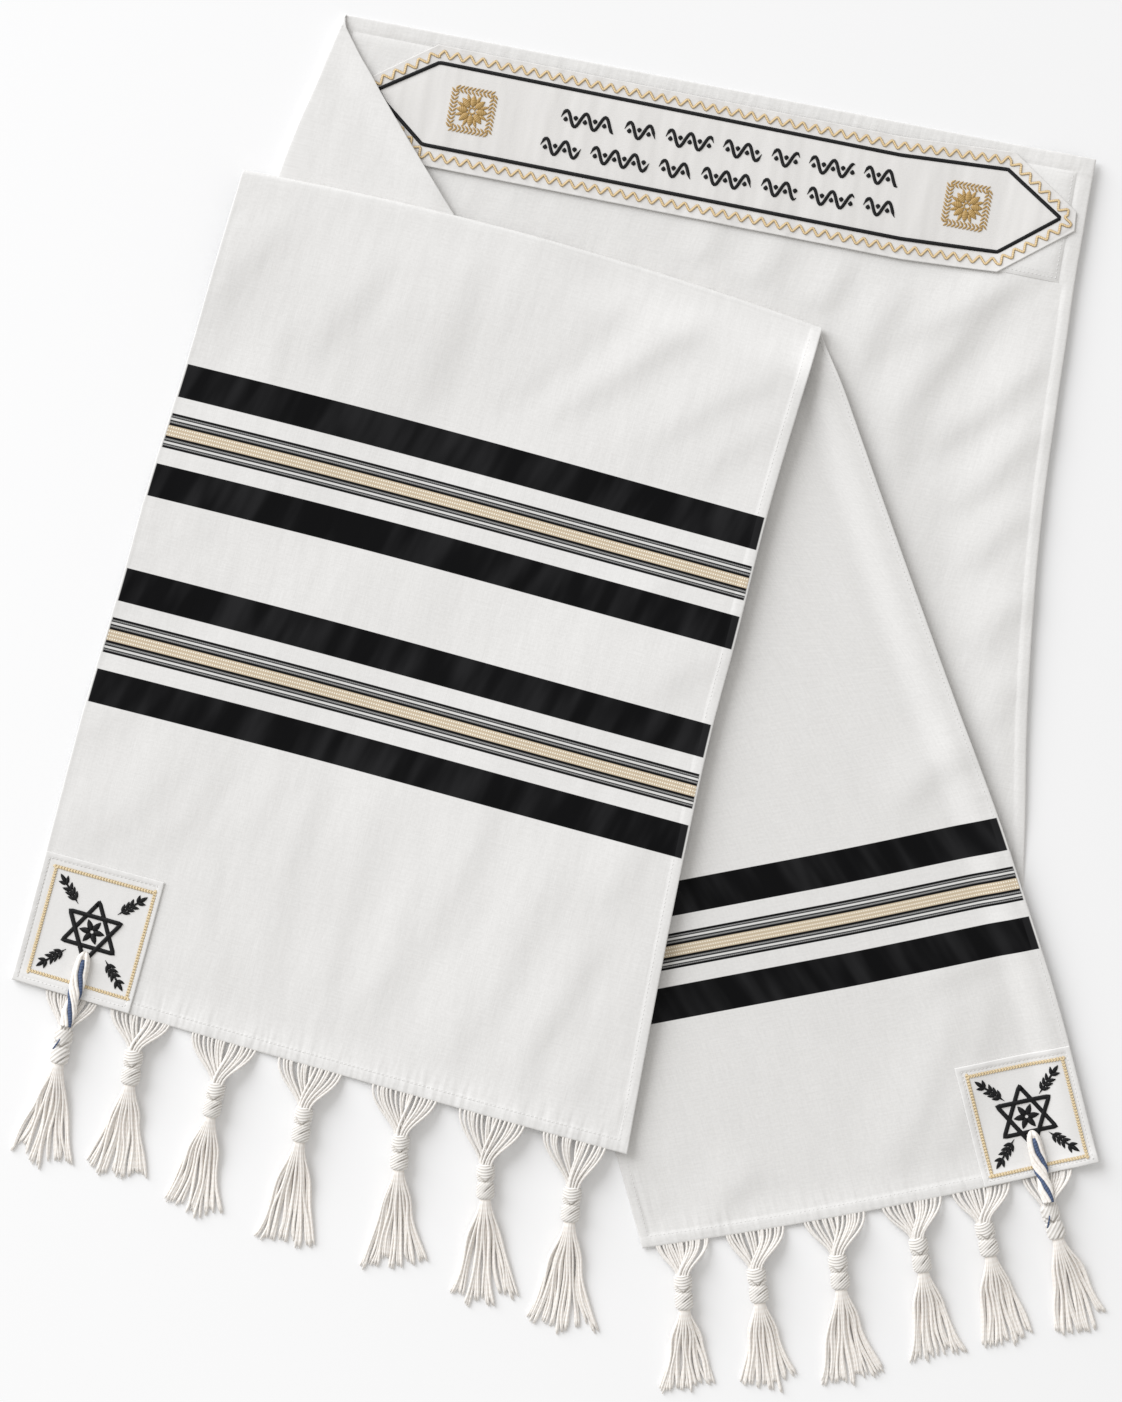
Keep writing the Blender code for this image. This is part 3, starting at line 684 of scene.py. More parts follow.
class Finish:
    """A material under construction round one Principled shader."""

    def __init__(self, name, **fixed):
        self.material = bpy.data.materials.new(name)
        self.material.use_nodes = True
        self.tree = self.material.node_tree
        self.shader = self.tree.nodes["Principled BSDF"]
        self.shade(**fixed)

    def shade(self, **inputs):
        """Sets or links sockets of the shader."""
        for key, value in inputs.items():
            self.feed(self.shader.inputs[key.replace("_", " ")], value)

    def feed(self, socket, value):
        """Links a socket, or sets its value. A colour is three numbers and is made opaque."""
        value = value.socket if isinstance(value, Value) else value
        if isinstance(value, bpy.types.NodeSocket):
            self.tree.links.new(value, socket)
        else:
            socket.default_value = (*value, 1) if socket.type == "RGBA" else value

    def node(self, kind, inputs=(), **settings):
        """A node of a type, its settings first and then the values or links of its sockets."""
        made = self.tree.nodes.new(kind)
        for key, value in settings.items():
            setattr(made, key, value)
        for key, value in dict(inputs).items():
            self.feed(made.inputs[key], value)
        return made

    def number(self, kind, inputs=(), **settings):
        """The first output of a node, as a number."""
        return Value(self, self.node(kind, inputs, **settings).outputs[0])

    def math(self, operation, *values):
        """A number worked out from others."""
        return self.number("ShaderNodeMath", enumerate(values), operation=operation)

    def sine(self, value):
        """The sine of a number."""
        return self.math("SINE", value)

    def threads(self, value, pitch):
        """The sine of a place, once round for each pitch."""
        return self.sine(value * (TAU / pitch))

    def least(self, *values):
        """The smallest of several numbers."""
        first, *others = values
        for other in others:
            first = self.math("MINIMUM", first, other)
        return first

    def step(self, value, low, high):
        """0 below low, 1 above high and an S between."""
        inputs = {"Value": value, "From Min": low, "From Max": high}
        return self.number("ShaderNodeMapRange", inputs, interpolation_type="SMOOTHSTEP")

    def between(self, value, low, high, soft=0.22):
        """1 between low and high, with soft edges, and 0 elsewhere."""
        return self.step(value, low - soft, low + soft) - self.step(value, high - soft, high + soft)

    def mix(self, share, first, second):
        """A colour between two."""
        inputs = {0: share, 6: first, 7: second}
        return self.node("ShaderNodeMix", inputs, data_type="RGBA").outputs[2]

    def place(self):
        """The place in the object, in metres."""
        return self.node("ShaderNodeTexCoord").outputs["Object"]

    def split(self, vector):
        """The three numbers of a vector."""
        numbers = self.node("ShaderNodeSeparateXYZ", {0: vector}).outputs
        return [Value(self, socket) for socket in numbers]

    def parts(self, name):
        """The three numbers of a named vector on the points."""
        return self.split(self.node("ShaderNodeAttribute", attribute_name=name).outputs["Vector"])

    def noise(self, at, stretch=(1, 1), detail=2.0, scale=1.0):
        """Soft noise from 0 to 1, with the place stretched along X and Y first."""
        at = self.node("ShaderNodeMapping", {"Vector": at, "Scale": (*stretch, 1)}).outputs[0]
        return self.number("ShaderNodeTexNoise", {"Vector": at, "Scale": scale, "Detail": detail})

    def flat(self, x, y):
        """A vector from two numbers."""
        return self.node("ShaderNodeCombineXYZ", {0: x, 1: y, 2: 0.0}).outputs[0]

    def relief(self, height, distance=1.0):
        """Raises the surface by the height times a distance in millimetres."""
        inputs = {"Height": height, "Distance": distance * MM, "Strength": 0.8}
        self.shade(Normal=self.node("ShaderNodeBump", inputs).outputs[0])

    def plain_weave(self, across, run, pitch):
        """Two sets of threads: the product of two sines, high where a thread passes over."""
        return 0.5 + 0.5 * self.threads(across, pitch) * self.threads(run, pitch)


def shawl_finish():
    """Fine wool with woven black satin stripes, and between each two a group of narrow stripes
    with a gold braid down its middle. Each set of stripes mirrors about its middle line and stops
    at a plain rim. The second end and the neck stretch are painted darker as painted shade, and the
    black satin carries soft bands of painted sheen."""
    made = Finish("striped_wool", Sheen_Weight=0.06, Sheen_Roughness=0.5, Specular_IOR_Level=0.06)
    across, run, edge = made.parts("weave")
    on_cloth = made.flat(across, run)
    inside = made.step(edge, RIM - 0.5, RIM + 0.5)
    from_middle = made.least(*(abs(run - middle) for middle in STRIPE_MIDDLES))
    satin = inside * made.between(from_middle, *SATIN_STRIPE)
    group = inside * (1 - made.step(from_middle, *GROUP_END))
    hatch = made.threads(across + from_middle, 1.7)
    grain = made.noise(on_cloth, (0.42, 0.5), 3.0)
    warp = made.noise(on_cloth, (1.1, 0.045))
    weft = made.noise(on_cloth, (0.045, 1.1))
    slub = 0.4 * grain + 0.3 * warp + 0.3 * weft
    cloud = made.noise(made.place(), scale=9.0)
    # Soft bands of painted sheen across the black satin stripes.
    soft = made.noise(made.flat(across + 0.23 * run, run), (0.05, 0.01))
    on_neck = made.step(run, NECK_RUN - 100.0, NECK_RUN - 99.0)
    bottom = made.step(abs(run), 600.0, 640.0) * (1 - on_neck)
    neck_top = on_neck * (1 - made.step(run, NECK_RUN + 12.0, NECK_RUN + 16.0))
    gathers = (1.8 * bottom + 0.7 * neck_top) * made.noise(on_cloth, (0.13, 0.022), 1.0)
    gathers = gathers + 0.6 * (1 - bottom) * made.noise(on_cloth, (0.025, 0.065), 1.0)
    hemmed = 1 - made.step(edge, 5.0, 32.0)
    folds = made.noise(on_cloth, (0.036, 0.011))
    hem_row = bottom * made.between(edge, BOTTOM_HEM[0] - 0.7, BOTTOM_HEM[0] + 0.9, 0.4)
    neck_seam = NECK_RUN + NECK_HEM[0]
    hem_row = hem_row + neck_top * made.between(run, neck_seam - 1.0, neck_seam + 0.6, 0.4)
    facing_row = FACING_MARK + FACING_ROWS[0]
    facing_row = made.between(edge, facing_row - 0.8, facing_row + 0.8, 0.4)
    pricks = hem_row * made.step(made.threads(across, STITCH), -0.1, 0.5)
    pricks = pricks + facing_row * made.step(made.threads(across + run, FACING_STITCH), -0.1, 0.5)

    thread = made.step(slub, 0.3, 0.7)
    # Painted shade: the second end and the neck stretch are painted darker than the front end.
    inner = (1 - made.step(run, -1.0, 0.0)) + on_neck * made.step(across, -1.0, 1.0)
    painted_shade_wool = made.mix(thread, (0.692, 0.683, 0.669), (0.768, 0.759, 0.745))
    # The black satin's lighter bands are painted sheen.
    black = made.mix(made.step(soft, 0.38, 0.76), (0.0024, 0.0024, 0.0028), (0.016, 0.016, 0.017))
    turned_in = made.step(across, 100.0, 101.0) * (1 - made.step(edge, 7.0, 8.0))
    black = made.mix(0.6 * turned_in, black, (0.019, 0.019, 0.02))
    greys, between_greys = (
        made.between(from_middle, *first) + made.between(from_middle, *second)
        for first, second in (GREY_STRIPES, BETWEEN_GREYS)
    )
    grey = made.mix(0.5 + 0.5 * hatch, (0.17, 0.17, 0.17), (0.32, 0.32, 0.315))
    braid = inside * (1 - made.step(from_middle, *BRAID_END))
    rows = made.sine(from_middle * (TAU / 2.8) + TAU / 4)
    knot = made.step(rows, -0.1, 0.7) * made.step(made.threads(across, 1.9), -0.3, 0.5)
    gold = made.mix(knot, (0.57, 0.468, 0.335), (0.95, 0.91, 0.795))
    colour = made.mix(thread, (0.715, 0.706, 0.693), (0.80, 0.792, 0.78))
    for share, other in (
        (0.35 * cloud, (0.725, 0.715, 0.70)),
        (0.5 * pricks, (0.56, 0.55, 0.535)),
        (inner, painted_shade_wool),
        (satin, black),
        (group, (0.006, 0.006, 0.0065)),
        (inside * greys, grey),
        (inside * between_greys, (0.022, 0.022, 0.023)),
        (inside * made.between(from_middle, *WHITE_STRIPE), (0.66, 0.655, 0.64)),
        (braid, gold),
    ):
        colour = made.mix(share, colour, other)
    made.shade(Base_Color=colour, Roughness=0.88 - 0.2 * satin - 0.35 * braid)
    height = 0.03 * made.plain_weave(across, run, 1.15) + 0.22 * slub + 0.06 * knot * braid
    made.relief(height + 1.0 * gathers * hemmed + 1.3 * folds)
    return made.material


def trim_finish(name, tint, sheen, pitch, roughness, wrinkles, deep):
    """Close-woven trim cloth with a faint slub and soft wrinkles `deep` millimetres high."""
    made = Finish(name, Sheen_Weight=sheen, Sheen_Roughness=0.4, Specular_IOR_Level=0.3)
    across, run, edge = made.parts("weave")
    on_cloth = made.flat(across, run)
    slub = made.noise(on_cloth, (0.35, 0.8), 3.0)
    darker = tuple(0.93 * part for part in tint)
    made.shade(Base_Color=made.mix(slub, darker, tint), Roughness=roughness + 0.1 * slub)
    wrinkle = made.noise(on_cloth, wrinkles)
    gathers = made.noise(on_cloth, (0.14, 0.14), 1.0) * (1 - made.step(edge, 3.0, 12.0))
    weave = 0.04 * made.plain_weave(across, run, pitch)
    made.relief(weave + 0.1 * slub + deep * wrinkle + 0.5 * gathers)
    return made.material


def thread_finish(name, light, dark, roughness, ply=2.2, specular=0.3, relief=0.25, core=0.0):
    """Plied thread: a helix round the strand, the sine of its place round it plus its run along.
    Its dark turns are painted shade in the grooves between the plies. A core above 0 paints a
    highlight on the middle of its upper side and painted shade on its two sides."""
    made = Finish(name, Specular_IOR_Level=specular)
    along, cosine, sine = made.parts("twist")
    phase = along * (TAU / ply)
    # The helix's dark turns are painted shade in the grooves between plies.
    helix = 0.5 + 0.5 * (sine * made.math("COSINE", phase) + cosine * made.sine(phase))
    fibre = made.noise(made.place(), scale=900.0)
    ply_shade_and_fibre = 0.7 * helix + 0.3 * fibre
    light_part = (1 - core) * ply_shade_and_fibre + core * made.step(sine, 0.3, 0.9)
    made.shade(Base_Color=made.mix(light_part, dark, light), Roughness=roughness - 0.1 * helix)
    made.relief(ply_shade_and_fibre, relief)
    return made.material


def floor_finish():
    """Matte paper, with painted light falloff: a little lighter towards the near left."""
    made = Finish("matte_floor", Specular_IOR_Level=0.0, Roughness=1.0)
    x, y, _ = made.split(made.place())
    # Painted light falloff: the floor is darker towards the far right.
    far = made.step(x + y, -1.1, 1.1)
    made.shade(Base_Color=made.mix(far, (0.918, 0.918, 0.921), (0.866, 0.866, 0.869)))
    return made.material


WOOL = shawl_finish()
PATCH_CLOTH = trim_finish(
    "patch_cotton", (0.785, 0.775, 0.762), 0.1, 1.3, 0.75, (0.05, 0.03), 0.6
)
SATIN = trim_finish("band_satin", (0.745, 0.73, 0.712), 0.15, 0.9, 0.55, (0.034, 0.007), 3.2)
YARN = thread_finish(
    "wool_yarn", (0.885, 0.855, 0.82), (0.82, 0.77, 0.715), 0.95, 4.0, relief=0.05
)
# The same wool yarn painted darker, as painted shade from the hem over the bundles.
PAINTED_SHADE_YARN = thread_finish(
    "painted_shade_yarn", (0.81, 0.787, 0.757), (0.73, 0.692, 0.65), 0.95, 4.0, relief=0.05
)
# Its core paints a highlight on each wrap's crest and painted shade in the grooves and gaps.
KNOT_YARN = thread_finish(
    "knot_yarn", (0.88, 0.866, 0.845), (0.69, 0.66, 0.62), 0.95, relief=0.0, core=0.85
)
BLUE_YARN = thread_finish("blue_yarn", (0.11, 0.155, 0.26), (0.035, 0.055, 0.12), 0.8)
SEWING = thread_finish("white_sewing_thread", (0.82, 0.81, 0.80), (0.66, 0.65, 0.64), 0.6, 1.2)
BLACK_SILK = thread_finish(
    "black_silk", (0.011, 0.011, 0.012), (0.003, 0.003, 0.0034), 0.55, 1.0, 0.2
)
GOLD_SILK = thread_finish("gold_silk", (0.56, 0.375, 0.135), (0.29, 0.165, 0.045), 0.45, 1.4, 0.5)
# Its core paints a highlight along the top of the thread and painted shade on its sides.
GOLD_CORD = thread_finish(
    "gold_cord", (0.75, 0.575, 0.32), (0.30, 0.17, 0.055), 0.45, 1.6, 0.5, core=0.85
)
# Its core paints a highlight along the top of each stitch and painted shade on its sides.
GOLD_CHAIN = thread_finish(
    "gold_chain", (0.87, 0.72, 0.46), (0.30, 0.18, 0.06), 0.45, 1.4, 0.5, core=0.6
)

# ---------------------------------------------------------------- the two ends


def spaced(start, stop, step):
    """Even distances from start to stop, near the step apart."""
    return np.linspace(start, stop, max(2, int(round(abs(stop - start) / step)) + 1))


def down_to_hem(length):
    """Distances down an end: even, and close together on its lower hem."""
    even = spaced(0, length - HEM_STEPS[-1], STEP)
    return np.concatenate([even, length - HEM_STEPS[::-1][1:]])


def between_edges(start, stop, step):
    """Distances from start to stop: close together at both edges and even between them."""
    even = spaced(start + EDGE_STEPS[-1], stop - EDGE_STEPS[-1], step)
    return np.concatenate([start + EDGE_STEPS[:-1], even, stop - EDGE_STEPS[::-1][1:]])


def hem_columns(width, middle, steps=HEM_STEPS):
    """Distances across each row: close together on the two hems and even between them."""
    wide = width[:, None]
    inner = steps[-1] + np.linspace(0, 1, middle + 2)[1:-1] * (wide - 2 * steps[-1])
    left = np.broadcast_to(steps, (len(width), len(steps)))
    return np.concatenate([left, inner, wide - left[:, ::-1]], axis=1)


def second_run(points, down):
    """Minus the distance from the fold: down the cloth near the fold, and lower down square to the
    hem, with a slight bow up at the right."""
    start, end = SECOND_ROWS[-1, 1:3], SECOND_ROWS[-1, 3:5]
    from_hem = (points - start) @ square_to(unit(end - start))
    turn = smooth((down - 250) / 100)
    bow = 2.4 * smooth(((points - start) @ unit(end - start) - 190) / 170)
    return -(1 - turn) * (down + FOLD_ARC) - turn * (SECOND_LENGTH - from_hem + bow)


def cloth_run(end, plan, down, across):
    """Where on the cloth a place is: the front's stripes sag by 1.8 mm towards its right side."""
    if end is FRONT_END:
        return down - 1.8 * smooth((across - 120) / 300)
    return second_run(plan, down)


def end_grid(end, down):
    """Middle surface, wall, edge distance and weave of an end at rows of distances down."""
    width = end.stretch.width(down)
    across = hem_columns(width, 90)
    down = np.broadcast_to(down[:, None], across.shape)
    plan = end.plan(down, across)
    wall = end.wall(down, across)
    middle = raised(plan, end.under(plan, down) + wall / 2)
    edge = end.edge(down, across)
    return middle, wall, edge, vectors(across, cloth_run(end, plan, down, across), edge)


def shawl_ends():
    """Both ends and the fold between them. The fold's middle surface is a half circle stood on
    the first row: sine of the turn times the radius towards the neck, cosine of it up."""
    front = end_grid(FRONT_END, down_to_hem(FRONT_LENGTH)[::-1])
    second = end_grid(SECOND_END, down_to_hem(SECOND_LENGTH))
    line = second[0][0]
    across = unit(line[-1, :2] - line[0, :2])
    turn = np.linspace(0, math.pi, 11)[1:-1, None]
    radius = END_FOLD_RADIUS - CLOTH / 2
    plan = line[:, :2] + (np.sin(turn) * radius)[..., None] * square_to(across)
    fold = raised(plan, line[:, 2] + radius * (1 + np.cos(turn)))
    edge = np.broadcast_to(second[2][0], fold.shape[:2])
    weave = vectors(second[3][0, :, 0], -FOLD_ARC * turn / math.pi, edge)
    bend = (fold, np.full(fold.shape[:2], CLOTH), edge, weave)
    grids = [np.concatenate(lot) for lot in zip(front, bend, second)]
    piece = cloth_piece("shawl_ends", *grids, WOOL, "shawl_cloth")
    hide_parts("end_panels")
    return piece


# ---------------------------------------------------------------- the neck stretch


def neck_flat(down, start, right, to_left):
    """The flat stretch from the fold to the right edge: its middle surface, its wall, its distance
    from the edge and the distances across it."""
    width = np.linalg.norm(start - right, axis=1)[:, None]
    even = np.linspace(0, 1, 105)[:-1] * (width - HEM_STEPS[-1])
    from_fold = np.concatenate([even, width - HEM_STEPS[::-1]], axis=1)
    flat = start[:, None] - to_left[:, None] * from_fold[..., None]
    from_right = width - from_fold
    hem_width = np.where(down < FACING_SEAM + 2, NECK_CORNER_HEM, NECK_SIDE_HEM[0])[:, None]
    side_hem = hem_rise(from_right, (hem_width, NECK_SIDE_HEM[1]))
    side_hem = side_hem * smooth((NECK_LENGTH - down) / HEM_FADE)[:, None]
    neck_hem = hem_rise(down, NECK_HEM)[:, None] * smooth((from_fold - 5) / 15)
    wall = CLOTH + np.maximum(side_hem, neck_hem)
    edge = np.minimum(from_right, np.minimum(down, NECK_LENGTH - down)[:, None])
    return raised(flat, wall / 2 + neck_lift(flat)), wall, edge, from_fold


def neck_flap(down, start, radius):
    """The turned-over flap from its free edge to the fold: its middle surface, its distance from
    the edge and the distances across it."""
    free = spline(FLAP_EDGE[:, 0], FLAP_EDGE[:, 1:], np.minimum(down, FLAP_EDGE[-1, 0]))
    reach = np.maximum(np.linalg.norm(free - start, axis=1)[:, None], 0.3)
    near = EDGE_STEPS * np.minimum(1, reach / 20)
    even = near[:, -1:] + np.linspace(0, 1, 32) * (reach - near[:, -1:])
    from_free = np.concatenate([near[:, :-1], even], axis=1)
    flap = free[:, None] + (start - free)[:, None] * (from_free / reach)[..., None]
    lift = FLAP_LIFT[0] * (1 - smooth(from_free / FLAP_LIFT[1])) * smooth(down / 60)[:, None]
    lift = lift * smooth(outside(flap, FRONT_OUTLINE) / 25)
    middle = raised(flap, (2 * radius - CLOTH / 2)[:, None] + lift)
    return middle, np.minimum(from_free, down[:, None]), from_free


def neck_cloth():
    """The flap's free edge, the flap, the half-circle fold and the flat stretch, in one grid whose
    rows run down the cloth and whose columns run out along the flap, round the fold and back."""
    flap_rows = np.concatenate([HEM_STEPS, spaced(HEM_STEPS[-1], FLAP_EDGE[-1, 0], STEP)[1:]])
    down = np.concatenate([flap_rows, spaced(FLAP_EDGE[-1, 0], NECK_LENGTH, STEP)[1:]])
    left, right, _ = NECK.sides(down)
    to_left = unit(left - right)
    radius = NECK_CORNER_RADIUS + (NECK_FOLD_RADIUS - NECK_CORNER_RADIUS) * smooth(down / 11)
    start = left - to_left * radius[:, None]
    flat, flat_wall, flat_edge, from_fold = neck_flat(down, start, right, to_left)
    flap, flap_edge, from_free = neck_flap(down, start, radius)

    turn = np.linspace(math.pi, 0, 10)[1:-1]
    bend = radius[:, None] - CLOTH / 2
    fold = start[:, None] + to_left[:, None] * (np.sin(turn) * bend)[..., None]
    fold = raised(fold, radius[:, None] - np.cos(turn) * bend)

    middle = np.concatenate([flap, fold, flat], axis=1)
    first_flat = flap.shape[1] + fold.shape[1]
    wall = np.concatenate([np.full((len(down), first_flat), CLOTH), flat_wall], axis=1)
    fold_edge = np.broadcast_to(down[:, None], fold.shape[:2])
    edge = np.concatenate([flap_edge, fold_edge, flat_edge], axis=1)
    across = np.concatenate([-from_free[:, ::-1] - 9, -bend * turn[::-1], from_fold], axis=1)
    weave = vectors(across, NECK_RUN + down[:, None], edge)
    rows, columns = np.indices((len(down) - 1, middle.shape[1] - 1))
    keep = (columns >= first_flat) | (rows < len(flap_rows) - 1)
    piece = cloth_piece("neck_cloth", middle, wall, edge, weave, WOOL, "shawl_cloth", keep)
    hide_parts("neck_panel")
    return piece


def facing_cloth():
    """The strip along the neck edge that carries the band, sewn down at its rim. Its weave runs on
    from the neck stretch."""
    down = between_edges(FACING_TOP, FACING_SEAM, STEP)
    width = NECK.width(down) - 2 * FACING_SIDE
    across = hem_columns(width, 108, EDGE_STEPS)
    down = np.broadcast_to(down[:, None], across.shape)
    plan = NECK.spot(down, (FACING_SIDE + across) / NECK.width(down))
    edge = np.minimum(across, width[:, None] - across)
    edge = np.minimum(edge, np.minimum(down - FACING_TOP, FACING_SEAM - down))
    seam = 0.35 * bell(edge, FACING_ROWS[0], 0.9) + 0.25 * bell(edge, FACING_ROWS[1], 0.8)
    rim = smooth(edge / 3.0)
    wall = 0.3 + (TRIM - 0.3) * rim - seam * rim
    middle = raised(plan, CLOTH + SEAM_GAP * (0.2 + 0.8 * rim) + wall / 2 + neck_lift(plan))
    weave = vectors(across, NECK_RUN + down, FACING_MARK + edge)
    grids = [lot[::-1] for lot in (middle, wall, edge, weave)]
    piece = cloth_piece("facing_cloth", *grids, WOOL, "shawl_cloth")
    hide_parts("neck_facing")
    return piece


# ---------------------------------------------------------------- the neck band

BAND_BASE = CLOTH + 2 * SEAM_GAP + TRIM
BAND_OUTLINE = np.concatenate([BAND_TOP, BAND_BOTTOM[::-1]])
BAND_ALONG = unit(BAND_TOP[3] - BAND_TOP[1])
BAND_UP = square_to(BAND_ALONG)
BAND_CENTRE = (BAND_TOP[1] + BAND_TOP[3] + BAND_BOTTOM[1] + BAND_BOTTOM[3]) / 4


def band_wall(edge):
    """The band's wall: softly padded, pinched where the piping and the edge seam hold it down."""
    padded = 0.5 * smooth(edge / 40)
    return TRIM + padded - 0.25 * bell(edge, 2.2, 0.8) - 0.2 * bell(edge, 14.5, 2)


def band_top(points, lift=0.0):
    """A point on the band's upper surface."""
    edge = border_distance(points, BAND_OUTLINE)
    return raised(points, BAND_BASE + band_wall(edge) + neck_lift(points) + lift)


def walk(corners, spacing):
    """Points evenly spaced round the straight lines between corners, the way on at each and how
    far round it is."""
    corners = np.concatenate([corners, corners[:1]])
    gone = gone_along(corners)
    at = np.linspace(0, gone[-1], int(round(gone[-1] / spacing)) + 1)
    points = on_line(corners, gone, at)
    return points, way_on(points), at


def band_cloth():
    """The band's satin, from the lower edge to the upper edge at each share of its length."""
    knots = gone_along(BAND_TOP)
    knots = knots / knots[-1]
    near_tips = [0.0003, 0.001, 0.002, 0.998, 0.999, 0.9997]
    share = np.sort(np.concatenate([np.linspace(0, 1, 190), knots[1:-1], near_tips]))
    top, bottom = on_line(BAND_TOP, knots, share), on_line(BAND_BOTTOM, knots, share)
    up = between_edges(0, BAND_ACROSS, 3.4) / BAND_ACROSS
    plan = bottom + (top - bottom) * up[:, None, None]
    edge = border_distance(plan, BAND_OUTLINE)
    wall = band_wall(edge)
    middle = raised(plan, BAND_BASE + wall / 2 + neck_lift(plan))
    local = plan - BAND_CENTRE
    weave = vectors(local @ BAND_ALONG, local @ BAND_UP, edge)
    piece = cloth_piece("band_satin", middle, wall, edge, weave, SATIN, "satin")
    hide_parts("neck_band")
    return piece


def band_piping():
    """The black piping, a flat tube that closes on itself."""
    points, _, _ = walk(PIPING, 2.5)
    path = band_top(points[:-1], 0.25)
    path = np.concatenate([path, path[:2]])[None]
    thread_piece("band_piping", [strands(path, PIPING_RADIUS, 0.7)], BLACK_SILK)


def band_wave():
    """The gold thread couched beside the piping: a sine beside a line midway to the band's edge."""
    lower = (BAND_BOTTOM + PIPING[[8, 7, 6, 5, 4]]) / 2
    middle = np.concatenate([(BAND_TOP + PIPING[:5]) / 2, lower[::-1]])
    points, heading, gone = walk(middle, 0.9)
    waves = round(gone[-1] / WAVE_PERIOD)
    phase = gone / gone[-1] * waves * TAU
    sway = WAVE_REACH * np.arcsin(0.94 * np.sin(phase)) / math.asin(0.94)
    path = band_top(points + square_to(heading) * sway[:, None], 0.35)[None]
    thread_piece("band_gold_wave", [strands(path, WAVE_THREAD, 0.6)], GOLD_CORD)


# ---------------------------------------------------------------- embroidery

LEAF_FORM = np.array([0.25, 0.75, 1.0, 0.95, 0.8, 0.5, 0.12])  # width along a leaf, of its widest


def leaves(place, points, headings, length, width, high=0.8):
    """Satin-stitched leaves laid on a surface: lens-shaped tubes on short straight lines."""
    along = np.linspace(0, 1, len(LEAF_FORM))[:, None]
    plan = points[:, None] + unit(headings)[:, None] * length * along
    return strands(place(plan), width / 2 * LEAF_FORM, high * LEAF_FORM**0.5)


def stem(place, points, width, high=0.7):
    """A line of satin stitch with pointed ends along plan points."""
    number = np.arange(len(points))
    form = np.clip(np.minimum(number, number[::-1]) / 2.0, 0.15, 1)
    return strands(place(points)[None], width / 2 * form, high * form**0.5)


def berry_scroll(place, start, length, along, up, sway, period, berry):
    """A short running scroll: a sine-wave stem, and in the hollow of each bend one round berry."""
    at = np.linspace(0, length, max(8, int(length)))
    wave = sway * np.sin(at * TAU / period)
    points = start + at[:, None] * along + wave[:, None] * up
    bends = np.arange(period / 4, length - 1, period / 2)
    side = np.where(np.arange(len(bends)) % 2 == 0, 1.0, -1.0)[:, None]
    spots = start + bends[:, None] * along - side * up * (0.9 + berry / 2)
    return [stem(place, points, 2.7), leaves(place, spots, side * up, berry, berry, 0.9)]


def on_band(points):
    """A point just over the band, where its embroidery lies."""
    return band_top(points, 0.1)


def band_embroidery():
    """Two rows of black scroll between the gold rosettes, in short runs of different lengths."""
    parts = []
    for at, height, lengths in (
        (-128, 9.5, (51, 33, 46, 39, 30, 44, 36)),
        (-140, -15, (40, 55, 34, 48, 37, 45, 34)),
    ):
        for length in lengths:
            start = BAND_CENTRE + at * BAND_ALONG + height * BAND_UP
            parts += berry_scroll(on_band, start, length - 8, BAND_ALONG, BAND_UP, 5.9, 15.5, 3.9)
            at += length
    thread_piece("band_scroll", parts, BLACK_SILK)


def slanted(place, spots, way, lean, *sizes):
    """A row of leaves at spots, all leaning from one way by an angle."""
    return leaves(place, spots, np.broadcast_to(turned(way, lean), spots.shape), *sizes)


def rosette(place, centre, along, up, half):
    """A square border of slanted leaf stitches round an eight-petalled flower."""
    parts = []
    steps = np.linspace(-1, 1, 11)
    for way, beside in ((along, up), (up, -along), (-along, -up), (-up, along)):
        spots = centre + steps[:-1, None] * half * way + half * beside
        parts += [slanted(place, spots, way, lean, 4.6, 1.7, 0.6) for lean in (0.75, -0.75)]
    axes = np.stack([along, up])
    angle = np.arange(8) * TAU / 8
    petals = around(angle) @ axes
    parts.append(leaves(place, centre + 3.2 * petals, petals, 9.4, 5.4, 0.8))
    between = around(angle + TAU / 16) @ axes
    parts.append(leaves(place, centre + 7.0 * between, between, 7.0, 2.8, 0.6))
    ring = around(np.linspace(0, TAU, 25)) @ axes
    parts.append(stem(place, centre + 2.4 * ring, 1.6))
    return parts


def band_rosettes():
    """The two gold rosettes near the ends of the band."""
    parts = []
    for centre in ((-70.3, 465.3), (320.0, 390.3)):
        parts += rosette(on_band, np.array(centre), BAND_ALONG, BAND_UP, 15.5)
    thread_piece("band_gold_rosettes", parts, GOLD_SILK)


# ---------------------------------------------------------------- corner patches


